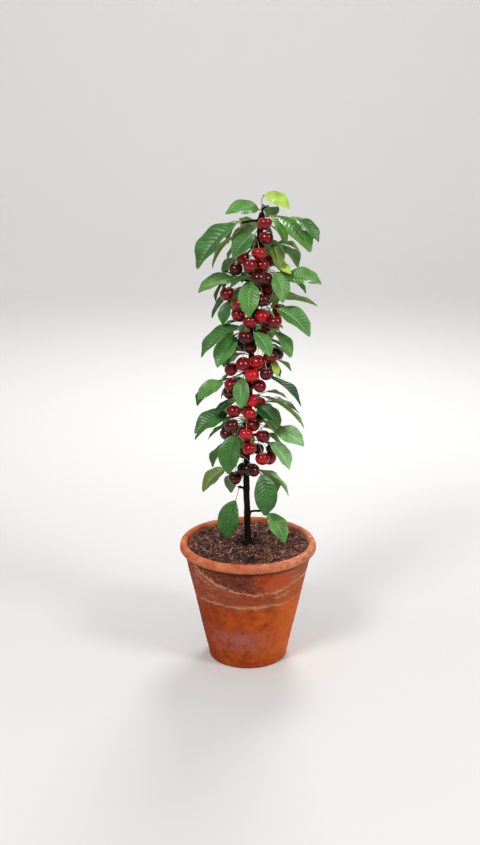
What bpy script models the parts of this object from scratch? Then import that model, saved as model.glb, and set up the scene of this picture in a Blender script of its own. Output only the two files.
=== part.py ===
"""A columnar cherry tree in fruit, in a hand-made terracotta pot filled with bark compost.

The frame has its origin at the centre of the pot's underside, +Z up, in metres. Headings are
degrees round the trunk: 0 looks along -Y, the plant's front, and 90 along +X. A rise is degrees
above the horizontal. The plan of the spurs below is in millimetres and degrees.
"""
import math
import random

import bmesh
import bpy
import numpy as np
from mathutils import Vector

MM = 0.001
GAP = 0.3 * MM              # clearance between solids that touch on the real plant
MERGE = 0.01 * MM           # points closer than this are one

# Pot: a thrown terracotta pot with a rolled lip, its body tapering to a flat foot
POT_HEIGHT = 232 * MM
RIM_RADIUS = 130 * MM
LIP_HEIGHT = 18 * MM
LIP_ROUND = 5 * MM
EDGE_ROUND = 3 * MM         # at the foot, the lip's lower edge and the mouth
MOUTH_RADIUS = 117 * MM
SHOULDER_RADIUS = 121 * MM  # body just under the lip
NECK_RADIUS = 114 * MM      # inside the pot, level with the lip's foot
FOOT_RADIUS = 75 * MM
INNER_FOOT_RADIUS = 67 * MM
WALL_CLEARANCE = 0.8 * MM   # between the compost and the wall, past the facets' flats
FLOOR_THICKNESS = 14 * MM
POT_STEPS = 40              # facets round the pot and its compost

# Compost: its edge lies a centimetre under the rim and it rises a little to the trunk
COMPOST_EDGE = POT_HEIGHT - 10 * MM
COMPOST_TOP = POT_HEIGHT - 7 * MM
COMPOST_CROWN_RADIUS = 18 * MM

# Trunk: height above the pot's underside, sideways lean and radius, all in mm. It starts at the
# flat cut on the compost, flares at the root, and ends in a swollen node under the leader's buds
TRUNK_COURSE = [
    (225.3, 0.3, 9.8), (229, 0.2, 8.4), (235, -0.1, 7.1), (246, -0.6, 6.3), (270, -1.2, 6.0),
    (320, -2.6, 5.9), (371, -3.5, 5.7), (430, -1.2, 5.6), (487, 1.3, 5.5), (545, 3.5, 5.4),
    (600, 5.8, 5.3), (665, 9.4, 5.1), (728, 13.3, 5.0), (785, 17.6, 4.9), (822, 20.4, 5.1),
    (838, 21.9, 5.7), (848, 23.4, 4.8),
]
TRUNK_SIDES_RESOLUTION = 3  # ten sides

# Woody parts and stalks
BOUGH_FROM = 15             # mm of reach past which a spur has a limb of its own
BOUGH_RADII = (3.4, 2.7)    # mm at the trunk and at the tip
BOUGH_BOW = 0.6 * MM
STEM_RADII = (2.5, 2.0)     # mm at a mass's foot and at its end
STEM_LENGTH = 9             # mm, where a limb or the leader carries the mass
STALK_SETTING = 1.5 * MM    # how far inside a stem's end its stalks start
PETIOLE_RADIUS = 0.9 * MM
PETIOLE_STEPS = 2
PETIOLE_TURN = 0.6          # of the petiole, where it turns to its blade's heading
FRUIT_STALK_RADIUS = 0.8 * MM
FRUIT_STALK_STEPS = 2
STALK_MIDDLE = 0.55         # of a fruit stalk, where it arches highest
STALK_ARCH = 0.18           # of a fruit stalk, how high it arches
TWIG_RADII = (1.7, 1.4, 0.9)  # mm from a bare twig's foot to its end

# Leaf blades
BLADE_WIDTH = 0.57          # of the length
BLADE_THICKNESS = 0.013     # of the length
BLADE_ROWS = 5
BLADE_FULLNESS = 0.8        # how squarely the outline fills out
BLADE_SKEW = 0.95           # below 1, the widest place lies nearer the base
TIP_FROM = 0.78             # of the length, where the drawn tip starts
TIP_DRAW = 0.6              # how much the tip is drawn in
BLADE_DROOP = 42            # degrees that a blade bends down from base to tip
FOLD = 20                   # degrees that each half lifts from the midrib
LOOK_RISE = 35              # degrees above the horizon that upper faces turn to
MIDRIB_SINK = 0.22          # of the blade, the stretch that its petiole runs into it

# Cherries
CHERRY_RADIUS = 12.8 * MM
CHERRY_SQUAT = 0.94         # height over width
CHERRY_DIMPLE = 0.55        # of the radius, where the stalk ends over the centre
CHERRY_FACETS = (6, 5)

# Room that is kept between one spur's growth and another's
BLADE_BEAD = 2.9 * MM
STALK_BEAD = 1.7 * MM
CHERRY_BEAD = 12.4 * MM
RIM_BEAD = 9 * MM
LIMB_MARGIN = 0.8 * MM      # past the radius of a limb or stem
LINE_SPACING = 4 * MM       # between the beads of a limb or stalk
BLADE_SPACING = 5 * MM      # between the beads of a blade
RIM_SPACING = 6             # degrees between the beads of the rim
TRIES = [(0, 0), (8, 0), (-8, 0), (0, 9), (0, -9), (14, 8), (-14, 8), (14, -10), (-14, -10),
         (24, 0), (-24, 0), (0, 20), (34, 10), (-34, 10), (46, 0), (-46, 0)]
STALK_STRETCHES = (1, 1.2, 0.85)
LEAF_FAN = 52               # degrees between leaves that grow by rule
CHERRY_FAN = 48
SEED = 21

# The spurs, from the lowest up. Each has its height on the trunk, heading, reach and rise. A leaf
# is its petiole's heading, rise and length, then its blade's heading, rise and length, and the
# heading that its upper face turns to; one whose blade has no length is a bare twig. A cherry is
# its heading, rise and distance from the spur's tip. The last pair is how many more leaves and
# cherries grow by rule.
SPURS = [
    (288, 80, 15, 10, [(80, -20, 12, 45, -45, 66, 20)], [], (0, 0)),
    (335, -60, 12, 20, [(-20, -40, 28, -60, -78, 76, -10)], [], (0, 0)),
    (352, 175, 12, 15, [], [], (2, 0)),
    (371, 60, 12, 10, [(45, 8, 22, 30, -75, 80, 0), (75, 8, 20, 72, -42, 66, 90)],
     [(110, -50, 32)], (0, 0)),
    (400, -70, 12, 20, [(-75, -48, 38, -75, -42, 62, -45)],
     [(-30, -70, 46), (20, -40, 34)], (0, 0)),
    (418, 172, 12, 15, [], [], (3, 2)),
    (440, 60, 12, 10, [(70, -15, 32, 58, -48, 62, 35)],
     [(-20, -30, 36), (45, -66, 46), (75, -40, 42), (62, -60, 56)], (0, 0)),
    (453, -150, 12, 15, [], [], (2, 2)),
    (462, 82, 12, 5, [(75, -18, 38, 60, -18, 64, 10)], [(25, -35, 32)], (0, 0)),
    (475, -10, 14, 10, [(-50, -38, 38, -40, -72, 76, -15)],
     [(-28, -48, 34), (-50, -12, 38), (-75, -38, 48), (70, -48, 17)], (0, 0)),
    (490, 165, 12, 15, [], [], (3, 2)),
    (503, -70, 12, 10, [(-75, -42, 34, -65, -24, 74, -30), (-60, 15, 24, -70, -35, 42, -60)],
     [(30, -28, 34), (-35, -20, 32)], (0, 0)),
    (514, 70, 12, 10, [(50, 10, 16, 65, -33, 96, 90), (60, -28, 28, 60, -62, 46, 60),
                       (-20, -45, 26, 55, -55, 54, 20)],
     [(-20, 0, 34)], (0, 0)),
    (533, -150, 12, 15, [], [], (2, 2)),
    (555, -60, 12, 20, [(-70, -20, 42, -70, -30, 56, -25), (0, 5, 26, -15, -68, 56, -10)],
     [(-55, -28, 34), (-65, -45, 44), (28, -62, 26)], (0, 0)),
    (562, 60, 12, 10, [(55, -20, 20, 65, -36, 86, 80)], [(5, -45, 32), (-20, -10, 34)], (0, 0)),
    (578, 165, 12, 15, [], [], (3, 2)),
    (600, -60, 12, 10, [], [(-60, -50, 42), (-5, -42, 34)], (0, 0)),
    (612, 60, 12, 10, [(60, -50, 38, 60, -62, 32, 30)],
     [(-10, -50, 36), (55, -40, 36), (95, -30, 36), (45, -62, 48), (20, -72, 60)], (0, 0)),
    (626, -165, 12, 15, [], [], (2, 2)),
    (645, -60, 12, 20, [(-40, 0, 14, -65, -33, 94, -60), (-50, -35, 30, -50, -38, 68, -20),
                        (-120, -20, 30, -80, -70, 60, -30)],
     [(-10, -35, 32), (33, -71, 43)], (0, 0)),
    (652, 30, 12, 10, [(-40, -25, 26, 45, -48, 54, 15), (70, -18, 36, 58, -50, 56, 50)], [], (0, 0)),
    (668, 145, 12, 15, [], [], (2, 2)),
    (690, 50, 12, 10, [(60, -15, 34, 60, -34, 80, 30), (60, 5, 12, 75, -3, 94, 90)],
     [(-40, -55, 46), (-20, -40, 34), (50, -52, 40), (70, -38, 38), (0, -72, 50)], (0, 0)),
    (705, -70, 12, 10, [(-70, -22, 36, -60, -80, 44, -20)],
     [(-70, -8, 38), (-50, -25, 36), (-50, -62, 44)], (0, 0)),
    (700, -165, 12, 15, [], [], (3, 2)),
    (722, -80, 20, 20, [(-60, 10, 8, -65, -17, 74, -45), (-85, 34, 34, 0, 0, 0, 0)], [], (0, 0)),
    (738, -10, 14, 20, [(-40, -20, 12, -65, -24, 44, -60), (-30, -30, 16, -15, -70, 68, -5)],
     [(10, -25, 30), (35, -70, 50)], (0, 0)),
    (730, 150, 12, 15, [], [], (2, 2)),
    (748, 70, 12, 10, [(58, -4, 30, 40, -66, 58, 15), (75, -28, 40, 70, -5, 70, 30),
                       (60, 25, 24, 60, -35, 34, 10)],
     [(25, -68, 44)], (0, 0)),
    (765, -168, 12, 15, [], [], (2, 2)),
    (783, 150, 12, 15, [], [], (2, 1)),
    (795, 80, 12, 10, [(50, 0, 14, 35, -58, 50, 30), (95, -2, 18, 80, -20, 42, 60)], [], (0, 0)),
    (803, -20, 12, 10, [(-10, 45, 20, -50, -42, 60, -10)],
     [(10, -42, 34), (-65, -50, 42), (-55, -66, 54), (-20, -50, 54)], (0, 0)),
    (818, 175, 12, 20, [], [], (3, 1)),
    (836, -75, 20, -5, [(-70, 8, 12, -65, -47, 108, -50), (-72, -56, 30, -68, -53, 68, -110),
                        (120, 0, 18, -110, -52, 48, -90)], [], (0, 0)),
    (838, 60, 9, 30, [(40, 10, 8, 55, -55, 58, 60), (50, -5, 22, 50, -48, 88, 25),
                      (80, 12, 24, 80, -30, 46, 70), (76, 4, 56, 70, -40, 58, 40)],
     [(-5, -68, 40), (5, -30, 28)], (0, 0)),
]
# The leader's buds stand on the trunk's tip, one young leaf high over them
LEADER_LEAVES = [(-60, -10, 8, -70, -6, 62, -20), (-50, 72, 32, 62, -25, 54, 20),
                 (60, 30, 14, 0, 0, 0, 0), (150, 10, 22, 160, -30, 62, 150)]


def direction(heading, rise):
    """The unit vector of a heading and a rise, both in degrees."""
    h, r = math.radians(heading), math.radians(rise)
    return Vector((math.sin(h) * math.cos(r), -math.cos(h) * math.cos(r), math.sin(r)))


def trunk_at(height):
    """The trunk's centre and radius at a height, both read off its course in mm."""
    levels = [level for level, lean, radius in TRUNK_COURSE]
    lean = np.interp(height, levels, [row[1] for row in TRUNK_COURSE])
    radius = np.interp(height, levels, [row[2] for row in TRUNK_COURSE])
    return Vector((lean, 0, height)) * MM, radius * MM


def outline(t):
    """A blade's half width at t of its length, as a share of the widest: oval, with a drawn tip."""
    full = math.sin(math.pi * min(1.0, t) ** BLADE_SKEW) ** BLADE_FULLNESS
    tip = max(0.0, (t - TIP_FROM) / (1 - TIP_FROM))
    return full * (1 - TIP_DRAW * tip * (1 - tip))


class Blade:
    """A leaf blade: an arc that bends down as it runs out, and two halves that lift from it."""

    def __init__(self, base, heading, rise, length, look):
        self.base, self.heading, self.length = base, heading, length
        self.droop = math.radians(BLADE_DROOP)
        self.start = math.radians(rise) + self.droop / 2
        self.look = direction(look, LOOK_RISE)

    def axes(self, t):
        """The blade's run, its side and its upper face's normal at t."""
        run = direction(self.heading, math.degrees(self.start - self.droop * t))
        side = run.cross(self.look).normalized()
        return run, side, side.cross(run)

    def centre(self, t):
        """The midrib's place at t, on an arc in an upright plane."""
        angle = self.start - self.droop * t
        out = self.length * (math.sin(self.start) - math.sin(angle)) / self.droop
        up = self.length * (math.cos(angle) - math.cos(self.start)) / self.droop
        return self.base + direction(self.heading, 0) * out + Vector((0, 0, up))

    def point(self, t, across):
        """A point of the blade: across runs from -1 at one margin to 1 at the other."""
        run, side, face = self.axes(t)
        half = self.length * BLADE_WIDTH / 2 * outline(t)
        lift = math.radians(FOLD)
        return self.centre(t) + side * (across * half * math.cos(lift)) \
            + face * (abs(across) * half * math.sin(lift))


def arch(start, middle, end, steps):
    """Points on the parabola from start to end that leaves towards the middle point."""
    return [start.lerp(middle, k / steps).lerp(middle.lerp(end, k / steps), k / steps)
            for k in range(steps + 1)]


def bend(start, heading, rise, length, end_heading, end_rise, steps):
    """Points of a petiole that leaves by one direction and bends towards its blade's."""
    first, last = direction(heading, rise), direction(end_heading, end_rise)
    middle = start + first * PETIOLE_TURN * length
    end = middle + (first + last).normalized() * (1 - PETIOLE_TURN) * length
    return arch(start, middle, end, steps)


def hang(start, centre, steps):
    """Points of a fruit stalk that leaves outward, bends over and ends inside the cherry's top."""
    end = centre + Vector((0, 0, CHERRY_DIMPLE * CHERRY_RADIUS))
    middle = start.lerp(end, STALK_MIDDLE) + Vector((0, 0, STALK_ARCH * (end - start).length))
    return arch(start, middle, end, steps)


def beads_along(points, radius):
    """Beads (x, y, z, radius) strung along a line of points."""
    beads = []
    for a, b in zip(points, points[1:]):
        count = max(1, round((b - a).length / LINE_SPACING))
        beads += [(*a.lerp(b, (k + 1) / count), radius) for k in range(count)]
    return beads


def blade_beads(blade):
    """Beads spread over a blade."""
    rows = max(6, round(blade.length / BLADE_SPACING))
    columns = max(3, round(blade.length * BLADE_WIDTH / BLADE_SPACING))
    return [(*blade.point((r + 0.5) / rows, 2 * (c + 0.5) / columns - 1), BLADE_BEAD)
            for r in range(rows) for c in range(columns)]


def clear(beads, others):
    """Whether no bead of one list touches a bead of the other."""
    if not beads or not others:
        return True
    a, b = np.array(beads), np.array(others)
    apart = np.linalg.norm(a[:, None, :3] - b[None, :, :3], axis=2)
    return bool((apart > a[:, None, 3] + b[None, :, 3]).all())


class Growth:
    """What one spur bears: its leaves and cherries, each kept where it finds room."""

    def __init__(self, tip, taken):
        self.tip, self.taken = tip, taken
        self.leaves, self.cherries, self.twigs = [], [], []
        self.broad, self.thin = [], []

    def room(self, broad, thin):
        """Whether a new piece clears every other spur and limb, and this spur's broad pieces."""
        return clear(broad, self.taken + self.broad) and clear(thin[2:], self.taken)

    def keep(self, broad, thin):
        self.broad += broad
        self.thin += thin[2:]

    def leaf(self, p_heading, p_rise, p_length, heading, rise, length, look):
        """Adds a leaf, turned a little where the first place is taken, or skips it."""
        for turn, lift in TRIES:
            petiole = bend(self.tip, p_heading + turn, p_rise + lift, p_length * MM,
                           heading + turn, rise + lift, PETIOLE_STEPS)
            thin = beads_along(petiole, STALK_BEAD)
            if not length:
                self.twigs.append(petiole)
                return self.keep([], thin)
            blade = Blade(petiole[-1], heading + turn, rise + lift, length * MM, look + turn)
            broad = blade_beads(blade)
            if self.room(broad, thin):
                self.leaves.append((petiole, blade))
                return self.keep(broad, thin)

    def cherry(self, heading, rise, reach):
        """Adds a cherry on its stalk, moved a little where the first place is taken."""
        for stretch, (turn, lift) in [(s, way) for s in STALK_STRETCHES for way in TRIES]:
            centre = self.tip + direction(heading + turn, rise + lift) * reach * stretch * MM
            stalk = hang(self.tip, centre, FRUIT_STALK_STEPS)
            broad = [(*centre, CHERRY_BEAD)]
            thin = beads_along(stalk[:-1], STALK_BEAD)
            if self.room(broad, thin):
                self.cherries.append((stalk, centre))
                return self.keep(broad, thin)

    def by_rule(self, heading, leaves, cherries, chance):
        """Leaves fan out round the spur's own heading, and cherries hang under them."""
        for k in range(leaves):
            out = heading + (k - (leaves - 1) / 2) * LEAF_FAN + chance.uniform(-12, 12)
            self.leaf(out, chance.uniform(0, 30), chance.uniform(24, 34),
                      out + chance.uniform(-14, 14), chance.uniform(-55, -22),
                      chance.uniform(62, 92), out)
        for k in range(cherries):
            out = heading + (k - (cherries - 1) / 2) * CHERRY_FAN + chance.uniform(-10, 10)
            self.cherry(out, chance.uniform(-62, -35), chance.uniform(30, 40))


def material(name, colour, roughness):
    """A plain material of one colour."""
    made = bpy.data.materials.new(name)
    made.use_nodes = True
    shader = made.node_tree.nodes["Principled BSDF"]
    shader.inputs["Base Color"].default_value = (*colour, 1)
    shader.inputs["Roughness"].default_value = roughness
    return made


def new_object(name, mesh, finish, collection):
    """An object of a mesh, with one material, in a collection."""
    mesh.materials.clear()
    mesh.materials.append(finish)
    made = bpy.data.objects.new(name, mesh)
    collection.objects.link(made)
    return made


def tube(name, points, radii, resolution, finish, collection):
    """A closed mesh tube along points, its radius given at each."""
    curve = bpy.data.curves.new(name, "CURVE")
    curve.dimensions = "3D"
    curve.bevel_depth = 1.0
    curve.bevel_resolution = resolution
    curve.use_fill_caps = True
    spline = curve.splines.new("POLY")
    spline.points.add(len(points) - 1)
    for knot, place, radius in zip(spline.points, points, radii):
        knot.co = (*place, 1)
        knot.radius = radius
    guide = bpy.data.objects.new(name + "_line", curve)
    collection.objects.link(guide)
    bpy.context.view_layer.update()
    mesh = bpy.data.meshes.new_from_object(guide.evaluated_get(bpy.context.evaluated_depsgraph_get()))
    bpy.data.objects.remove(guide)
    shape = bmesh.new()
    shape.from_mesh(mesh)
    bmesh.ops.remove_doubles(shape, verts=shape.verts, dist=MERGE)
    bmesh.ops.recalc_face_normals(shape, faces=shape.faces)
    shape.to_mesh(mesh)
    shape.free()
    return new_object(name, mesh, finish, collection)


def blade_solid(blade, finish, collection):
    """A leaf blade: a grid drawn into its outline, given its thickness by Solidify."""
    shape = bmesh.new()
    bmesh.ops.create_grid(shape, x_segments=2, y_segments=BLADE_ROWS, size=1)
    for vert in shape.verts:
        t = (vert.co.y + 1) / 2
        vert.co = blade.point(t, vert.co.x)
    bmesh.ops.remove_doubles(shape, verts=shape.verts, dist=MERGE)
    bmesh.ops.triangulate(shape, faces=shape.faces)
    mesh = bpy.data.meshes.new("blade")
    shape.to_mesh(mesh)
    shape.free()
    made = new_object("blade", mesh, finish, collection)
    wall = made.modifiers.new("Thickness", "SOLIDIFY")
    wall.thickness = blade.length * BLADE_THICKNESS
    wall.offset = 0
    return made


def cherry_solid(centre, finish, collection):
    """A cherry: a ball a little wider than it is tall."""
    shape = bmesh.new()
    bmesh.ops.create_uvsphere(shape, u_segments=CHERRY_FACETS[0], v_segments=CHERRY_FACETS[1],
                              radius=CHERRY_RADIUS)
    bmesh.ops.scale(shape, verts=shape.verts, vec=(1, 1, CHERRY_SQUAT))
    bmesh.ops.translate(shape, verts=shape.verts, vec=centre)
    mesh = bpy.data.meshes.new("cherry")
    shape.to_mesh(mesh)
    shape.free()
    return new_object("cherry", mesh, finish, collection)


def whole_body(mesh):
    """Keeps the largest body of a fused mesh: scraps are dropped and sealed hollows are filled."""
    shape = bmesh.new()
    shape.from_mesh(mesh)
    bmesh.ops.triangulate(shape, faces=shape.faces)
    waiting, bodies = set(shape.verts), []
    while waiting:
        edge, body = [waiting.pop()], set()
        while edge:
            vert = edge.pop()
            body.add(vert)
            for link in vert.link_edges:
                other = link.other_vert(vert)
                if other in waiting:
                    waiting.remove(other)
                    edge.append(other)
        bodies.append(body)
    bodies.sort(key=len, reverse=True)
    for body in bodies[1:]:
        bmesh.ops.delete(shape, geom=list(body), context="VERTS")
    shape.to_mesh(mesh)
    shape.free()


def fuse(base, pieces):
    """Joins a collection's objects to the base object by one Boolean union, then removes them."""
    union = base.modifiers.new("Fused", "BOOLEAN")
    union.operation = "UNION"
    union.operand_type = "COLLECTION"
    union.collection = pieces
    union.solver = "MANIFOLD"
    union.material_mode = "TRANSFER"
    bpy.context.view_layer.update()
    depsgraph = bpy.context.evaluated_depsgraph_get()
    mesh = bpy.data.meshes.new_from_object(base.evaluated_get(depsgraph))
    base.modifiers.clear()
    base.data = mesh
    whole_body(mesh)
    for piece in list(pieces.objects):
        bpy.data.objects.remove(piece)


def foliage(name, foot, end, growth, finishes, plant, pieces):
    """One spur's mass: its stem, with petioles, blades, stalks and cherries fused on."""
    bark, leaf, stalk_green, fruit = finishes
    radii = [r * MM for r in STEM_RADII]
    stem = tube(name, [foot, end], radii, 1, bark, plant)
    for petiole, blade in growth.leaves:
        thick = [PETIOLE_RADIUS] * len(petiole) + [PETIOLE_RADIUS * 0.5]
        tube("petiole", petiole + [blade.centre(MIDRIB_SINK)], thick, 0, stalk_green, pieces)
        blade_solid(blade, leaf, pieces)
    for twig in growth.twigs:
        tube("twig", twig, [r * MM for r in TWIG_RADII], 0, bark, pieces)
    for stalk, centre in growth.cherries:
        tube("fruit_stalk", stalk, [FRUIT_STALK_RADIUS] * len(stalk), 0, stalk_green, pieces)
        cherry_solid(centre, fruit, pieces)
    fuse(stem, pieces)
    return stem


def turned(name, profile, finish, plant):
    """A solid of revolution: a profile, running down its outer side, with a Screw modifier."""
    mesh = bpy.data.meshes.new(name)
    mesh.from_pydata([(r, 0, z) for r, z in profile],
                     [(k, k + 1) for k in range(len(profile) - 1)], [])
    made = new_object(name, mesh, finish, plant)
    screw = made.modifiers.new("Turned", "SCREW")
    screw.steps = screw.render_steps = POT_STEPS
    screw.use_merge_vertices = True
    screw.merge_threshold = MERGE
    return made


def pot(finish, plant):
    """The pot, turned from its profile, with a flat foot and a rolled lip."""
    lip_foot = POT_HEIGHT - LIP_HEIGHT
    profile = [(FOOT_RADIUS - EDGE_ROUND, 0), (FOOT_RADIUS, EDGE_ROUND), (SHOULDER_RADIUS, lip_foot),
               (RIM_RADIUS - EDGE_ROUND, lip_foot + EDGE_ROUND / 2),
               (RIM_RADIUS, lip_foot + LIP_ROUND)]
    for turn in (0, 30, 60, 90):
        out, up = math.cos(math.radians(turn)) - 1, math.sin(math.radians(turn)) - 1
        profile.append((RIM_RADIUS + LIP_ROUND * out, POT_HEIGHT + LIP_ROUND * up))
    profile += [(MOUTH_RADIUS + EDGE_ROUND, POT_HEIGHT), (MOUTH_RADIUS, POT_HEIGHT - EDGE_ROUND),
                (NECK_RADIUS, lip_foot), (INNER_FOOT_RADIUS, FLOOR_THICKNESS)]
    profile = [(0, 0)] + profile + [(0, FLOOR_THICKNESS)]
    return turned("pot", profile[::-1], finish, plant)


def compost(finish, plant):
    """The compost that fills the pot, clear of its wall and crowned round the trunk."""
    lip_foot = POT_HEIGHT - LIP_HEIGHT
    slope = (NECK_RADIUS - INNER_FOOT_RADIUS) / (lip_foot - FLOOR_THICKNESS)
    foot = FLOOR_THICKNESS + GAP
    lowest = INNER_FOOT_RADIUS + slope * GAP - WALL_CLEARANCE
    neck = NECK_RADIUS - WALL_CLEARANCE
    mouth_slope = (MOUTH_RADIUS - NECK_RADIUS) / (LIP_HEIGHT - EDGE_ROUND)
    brim = neck + mouth_slope * (COMPOST_EDGE - lip_foot)
    profile = [(0, foot), (lowest, foot), (neck, lip_foot), (brim, COMPOST_EDGE),
               (0.5 * brim, COMPOST_EDGE + 2 * MM), (COMPOST_CROWN_RADIUS, COMPOST_TOP),
               (0, COMPOST_TOP)]
    return turned("compost", profile[::-1], finish, plant)


def trunk(finish, plant):
    """The trunk, and the beads that keep its room and the pot rim's."""
    course = [trunk_at(level)[0] for level, lean, radius in TRUNK_COURSE]
    radii = [radius * MM for level, lean, radius in TRUNK_COURSE]
    tube("trunk", course, radii, TRUNK_SIDES_RESOLUTION, finish, plant)
    taken = []
    for a, b, radius in zip(course, course[1:], radii[1:]):
        taken += beads_along([a, b], radius + LIMB_MARGIN)
    ring = (RIM_RADIUS + MOUTH_RADIUS) / 2
    for heading in range(0, 360, RIM_SPACING):
        taken.append((*(direction(heading, 0) * ring + Vector((0, 0, POT_HEIGHT))), RIM_BEAD))
    return taken


def bough(name, foot, tip, finish, plant):
    """A long spur's limb, bowed a little upwards. Returns its line and the way that it ends."""
    line = [foot, foot.lerp(tip, 0.5) + Vector((0, 0, BOUGH_BOW)), tip]
    root, end = [radius * MM for radius in BOUGH_RADII]
    tube(name, line, [root, (root + end) / 2, end], 1, finish, plant)
    return line, (line[2] - line[1]).normalized()


def grow(plant, pieces, finishes):
    """Grows the tree: the trunk, then each spur from the lowest up, and last the leader's buds."""
    bark = finishes[0]
    taken = trunk(bark, plant)
    chance = random.Random(SEED)
    boughs = 0
    for number, (height, heading, reach, rise, leaves, cherries, more) in enumerate(SPURS, 1):
        axis, radius = trunk_at(height)
        out = direction(heading, rise)
        limb = reach >= BOUGH_FROM
        root = (BOUGH_RADII if limb else STEM_RADII)[0] * MM
        slope = math.radians(rise)
        foot = axis + out * (radius + GAP + root * abs(math.sin(slope))) / math.cos(slope)
        tip = axis + out * (radius + reach * MM)
        if limb:
            boughs += 1
            line, run = bough(f"bough_{boughs:02d}", foot, tip, bark, plant)
            taken += beads_along(line, root + LIMB_MARGIN)
            foot = tip + run * GAP
            tip = foot + run * STEM_LENGTH * MM
        growth = Growth(tip - (tip - foot).normalized() * STALK_SETTING, taken)
        for leaf in leaves:
            growth.leaf(*leaf)
        for cherry in cherries:
            growth.cherry(*cherry)
        growth.by_rule(heading, *more, chance)
        foliage(f"foliage_{number:02d}", foot, tip, growth, finishes, plant, pieces)
        taken += growth.broad + growth.thin
        taken += beads_along([foot, tip], STEM_RADII[0] * MM + LIMB_MARGIN)
    top, under = trunk_at(TRUNK_COURSE[-1][0])[0], trunk_at(TRUNK_COURSE[-2][0])[0]
    out = (top - under).normalized()
    foot, tip = top + out * GAP, top + out * (GAP + STEM_LENGTH * MM)
    growth = Growth(tip - out * STALK_SETTING, taken)
    for leaf in LEADER_LEAVES:
        growth.leaf(*leaf)
    foliage("foliage_leader", foot, tip, growth, finishes, plant, pieces)


for old in list(bpy.data.objects):
    bpy.data.objects.remove(old)
plant = bpy.data.collections.new("Potted cherry tree")
bpy.context.scene.collection.children.link(plant)
pieces = bpy.data.collections.new("Pieces to fuse")
bpy.context.scene.collection.children.link(pieces)

finishes = (material("Bark", (0.045, 0.028, 0.02), 0.75),
            material("Leaf", (0.06, 0.2, 0.03), 0.4),
            material("Stalk", (0.3, 0.36, 0.12), 0.5),
            material("Cherry", (0.4, 0.01, 0.012), 0.15))
pot(material("Terracotta", (0.5, 0.17, 0.07), 0.85), plant)
compost(material("Compost", (0.05, 0.026, 0.016), 0.95), plant)
grow(plant, pieces, finishes)
bpy.data.collections.remove(pieces)
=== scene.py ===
"""A young columnar cherry tree in ripe fruit, in a weathered terracotta pot of bark compost.

Metres, +Z up, the origin under the pot's centre, -Y the plant's front. A heading is degrees round
the trunk, 0 along -Y and 90 along +X; a rise is degrees above the horizontal.
"""

import math
import random

import bpy
import numpy as np
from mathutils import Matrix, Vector, noise


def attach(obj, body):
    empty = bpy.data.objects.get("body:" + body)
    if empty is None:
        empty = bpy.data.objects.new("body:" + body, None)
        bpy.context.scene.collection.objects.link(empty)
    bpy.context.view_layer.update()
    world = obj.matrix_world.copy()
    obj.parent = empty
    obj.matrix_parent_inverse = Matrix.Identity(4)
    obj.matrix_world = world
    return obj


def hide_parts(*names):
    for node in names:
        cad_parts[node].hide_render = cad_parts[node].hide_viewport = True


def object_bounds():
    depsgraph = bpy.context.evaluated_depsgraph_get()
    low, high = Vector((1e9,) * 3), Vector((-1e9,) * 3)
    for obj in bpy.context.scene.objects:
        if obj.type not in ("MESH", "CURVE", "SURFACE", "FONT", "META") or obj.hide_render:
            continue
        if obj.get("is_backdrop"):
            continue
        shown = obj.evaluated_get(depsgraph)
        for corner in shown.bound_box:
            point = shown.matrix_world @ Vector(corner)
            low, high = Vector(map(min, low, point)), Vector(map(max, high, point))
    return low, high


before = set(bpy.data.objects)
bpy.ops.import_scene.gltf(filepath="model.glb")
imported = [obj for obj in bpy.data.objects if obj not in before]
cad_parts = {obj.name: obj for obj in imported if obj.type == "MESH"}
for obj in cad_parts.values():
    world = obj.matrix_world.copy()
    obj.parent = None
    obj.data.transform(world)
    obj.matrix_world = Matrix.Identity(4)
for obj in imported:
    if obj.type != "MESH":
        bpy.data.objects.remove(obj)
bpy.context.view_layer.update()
MM = 0.001

# The view
# The photograph looks down at the plant from a little above its tip, with the pot's rim shown
# as a wide oval. Distance and tilt were read from that oval and from the pot's sides.
PHOTO_HEIGHT = 845          # px
FOCAL_PIXELS = 1260
SENSOR_HEIGHT = 36          # mm
TILT = 16.6                 # degrees downwards
CAMERA_PLACE = (-0.0152, -2.228, 1.128)

bpy.ops.object.select_all(action="DESELECT")
bpy.ops.object.camera_add(location=CAMERA_PLACE, rotation=(math.radians(90 - TILT), 0, 0))
camera = bpy.context.object
camera.data.sensor_fit = "VERTICAL"
camera.data.sensor_height = SENSOR_HEIGHT
camera.data.lens = FOCAL_PIXELS * SENSOR_HEIGHT / PHOTO_HEIGHT
bpy.context.scene.camera = camera


# The pot
# A thrown terracotta pot with a fat rolled lip. Years outdoors have left lime bloom in wavy tide
# lines, a dark crust under the lip on one side, and bare orange clay between.
POT_HEIGHT = 232 * MM
RIM_RADIUS = 130 * MM
LIP_FOOT = 214 * MM
MOUTH_RADIUS = 117 * MM
WALL_RADIUS = 110 * MM      # halfway up
TRUE_FOOT = 4 * MM          # the foot stays flat and even up to here
TIDE_HEIGHT, SECOND_TIDE, GROOVE_HEIGHT = 164 * MM, 137.5 * MM, 211.2 * MM
POT_AROUND, POT_CELL = 180, 5       # faces round the pot, and their height in mm
POT_PROFILE = [             # radius and height in mm, up the outside, over the lip, down the inside
    (60, 0), (72, 0), (74.2, 0.7), (75, 3), (80.2, 25), (85.6, 50), (91, 75), (96.4, 100),
    (101.8, 125), (107.2, 150), (112.7, 175), (117.1, 195), (120.4, 210.5), (121.3, 213),
    (123.6, 213.9), (126.4, 214.8), (128.7, 216.8), (129.8, 219.6), (130, 223), (129.5, 226.6),
    (128, 229.6), (125.6, 231.5), (122.8, 232), (120, 231.6), (118, 230.4), (116.8, 228.2),
    (116.2, 224.5), (115.6, 219), (114.8, 213), (104, 160), (90, 110), (76, 50), (67, 14),
]


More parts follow.
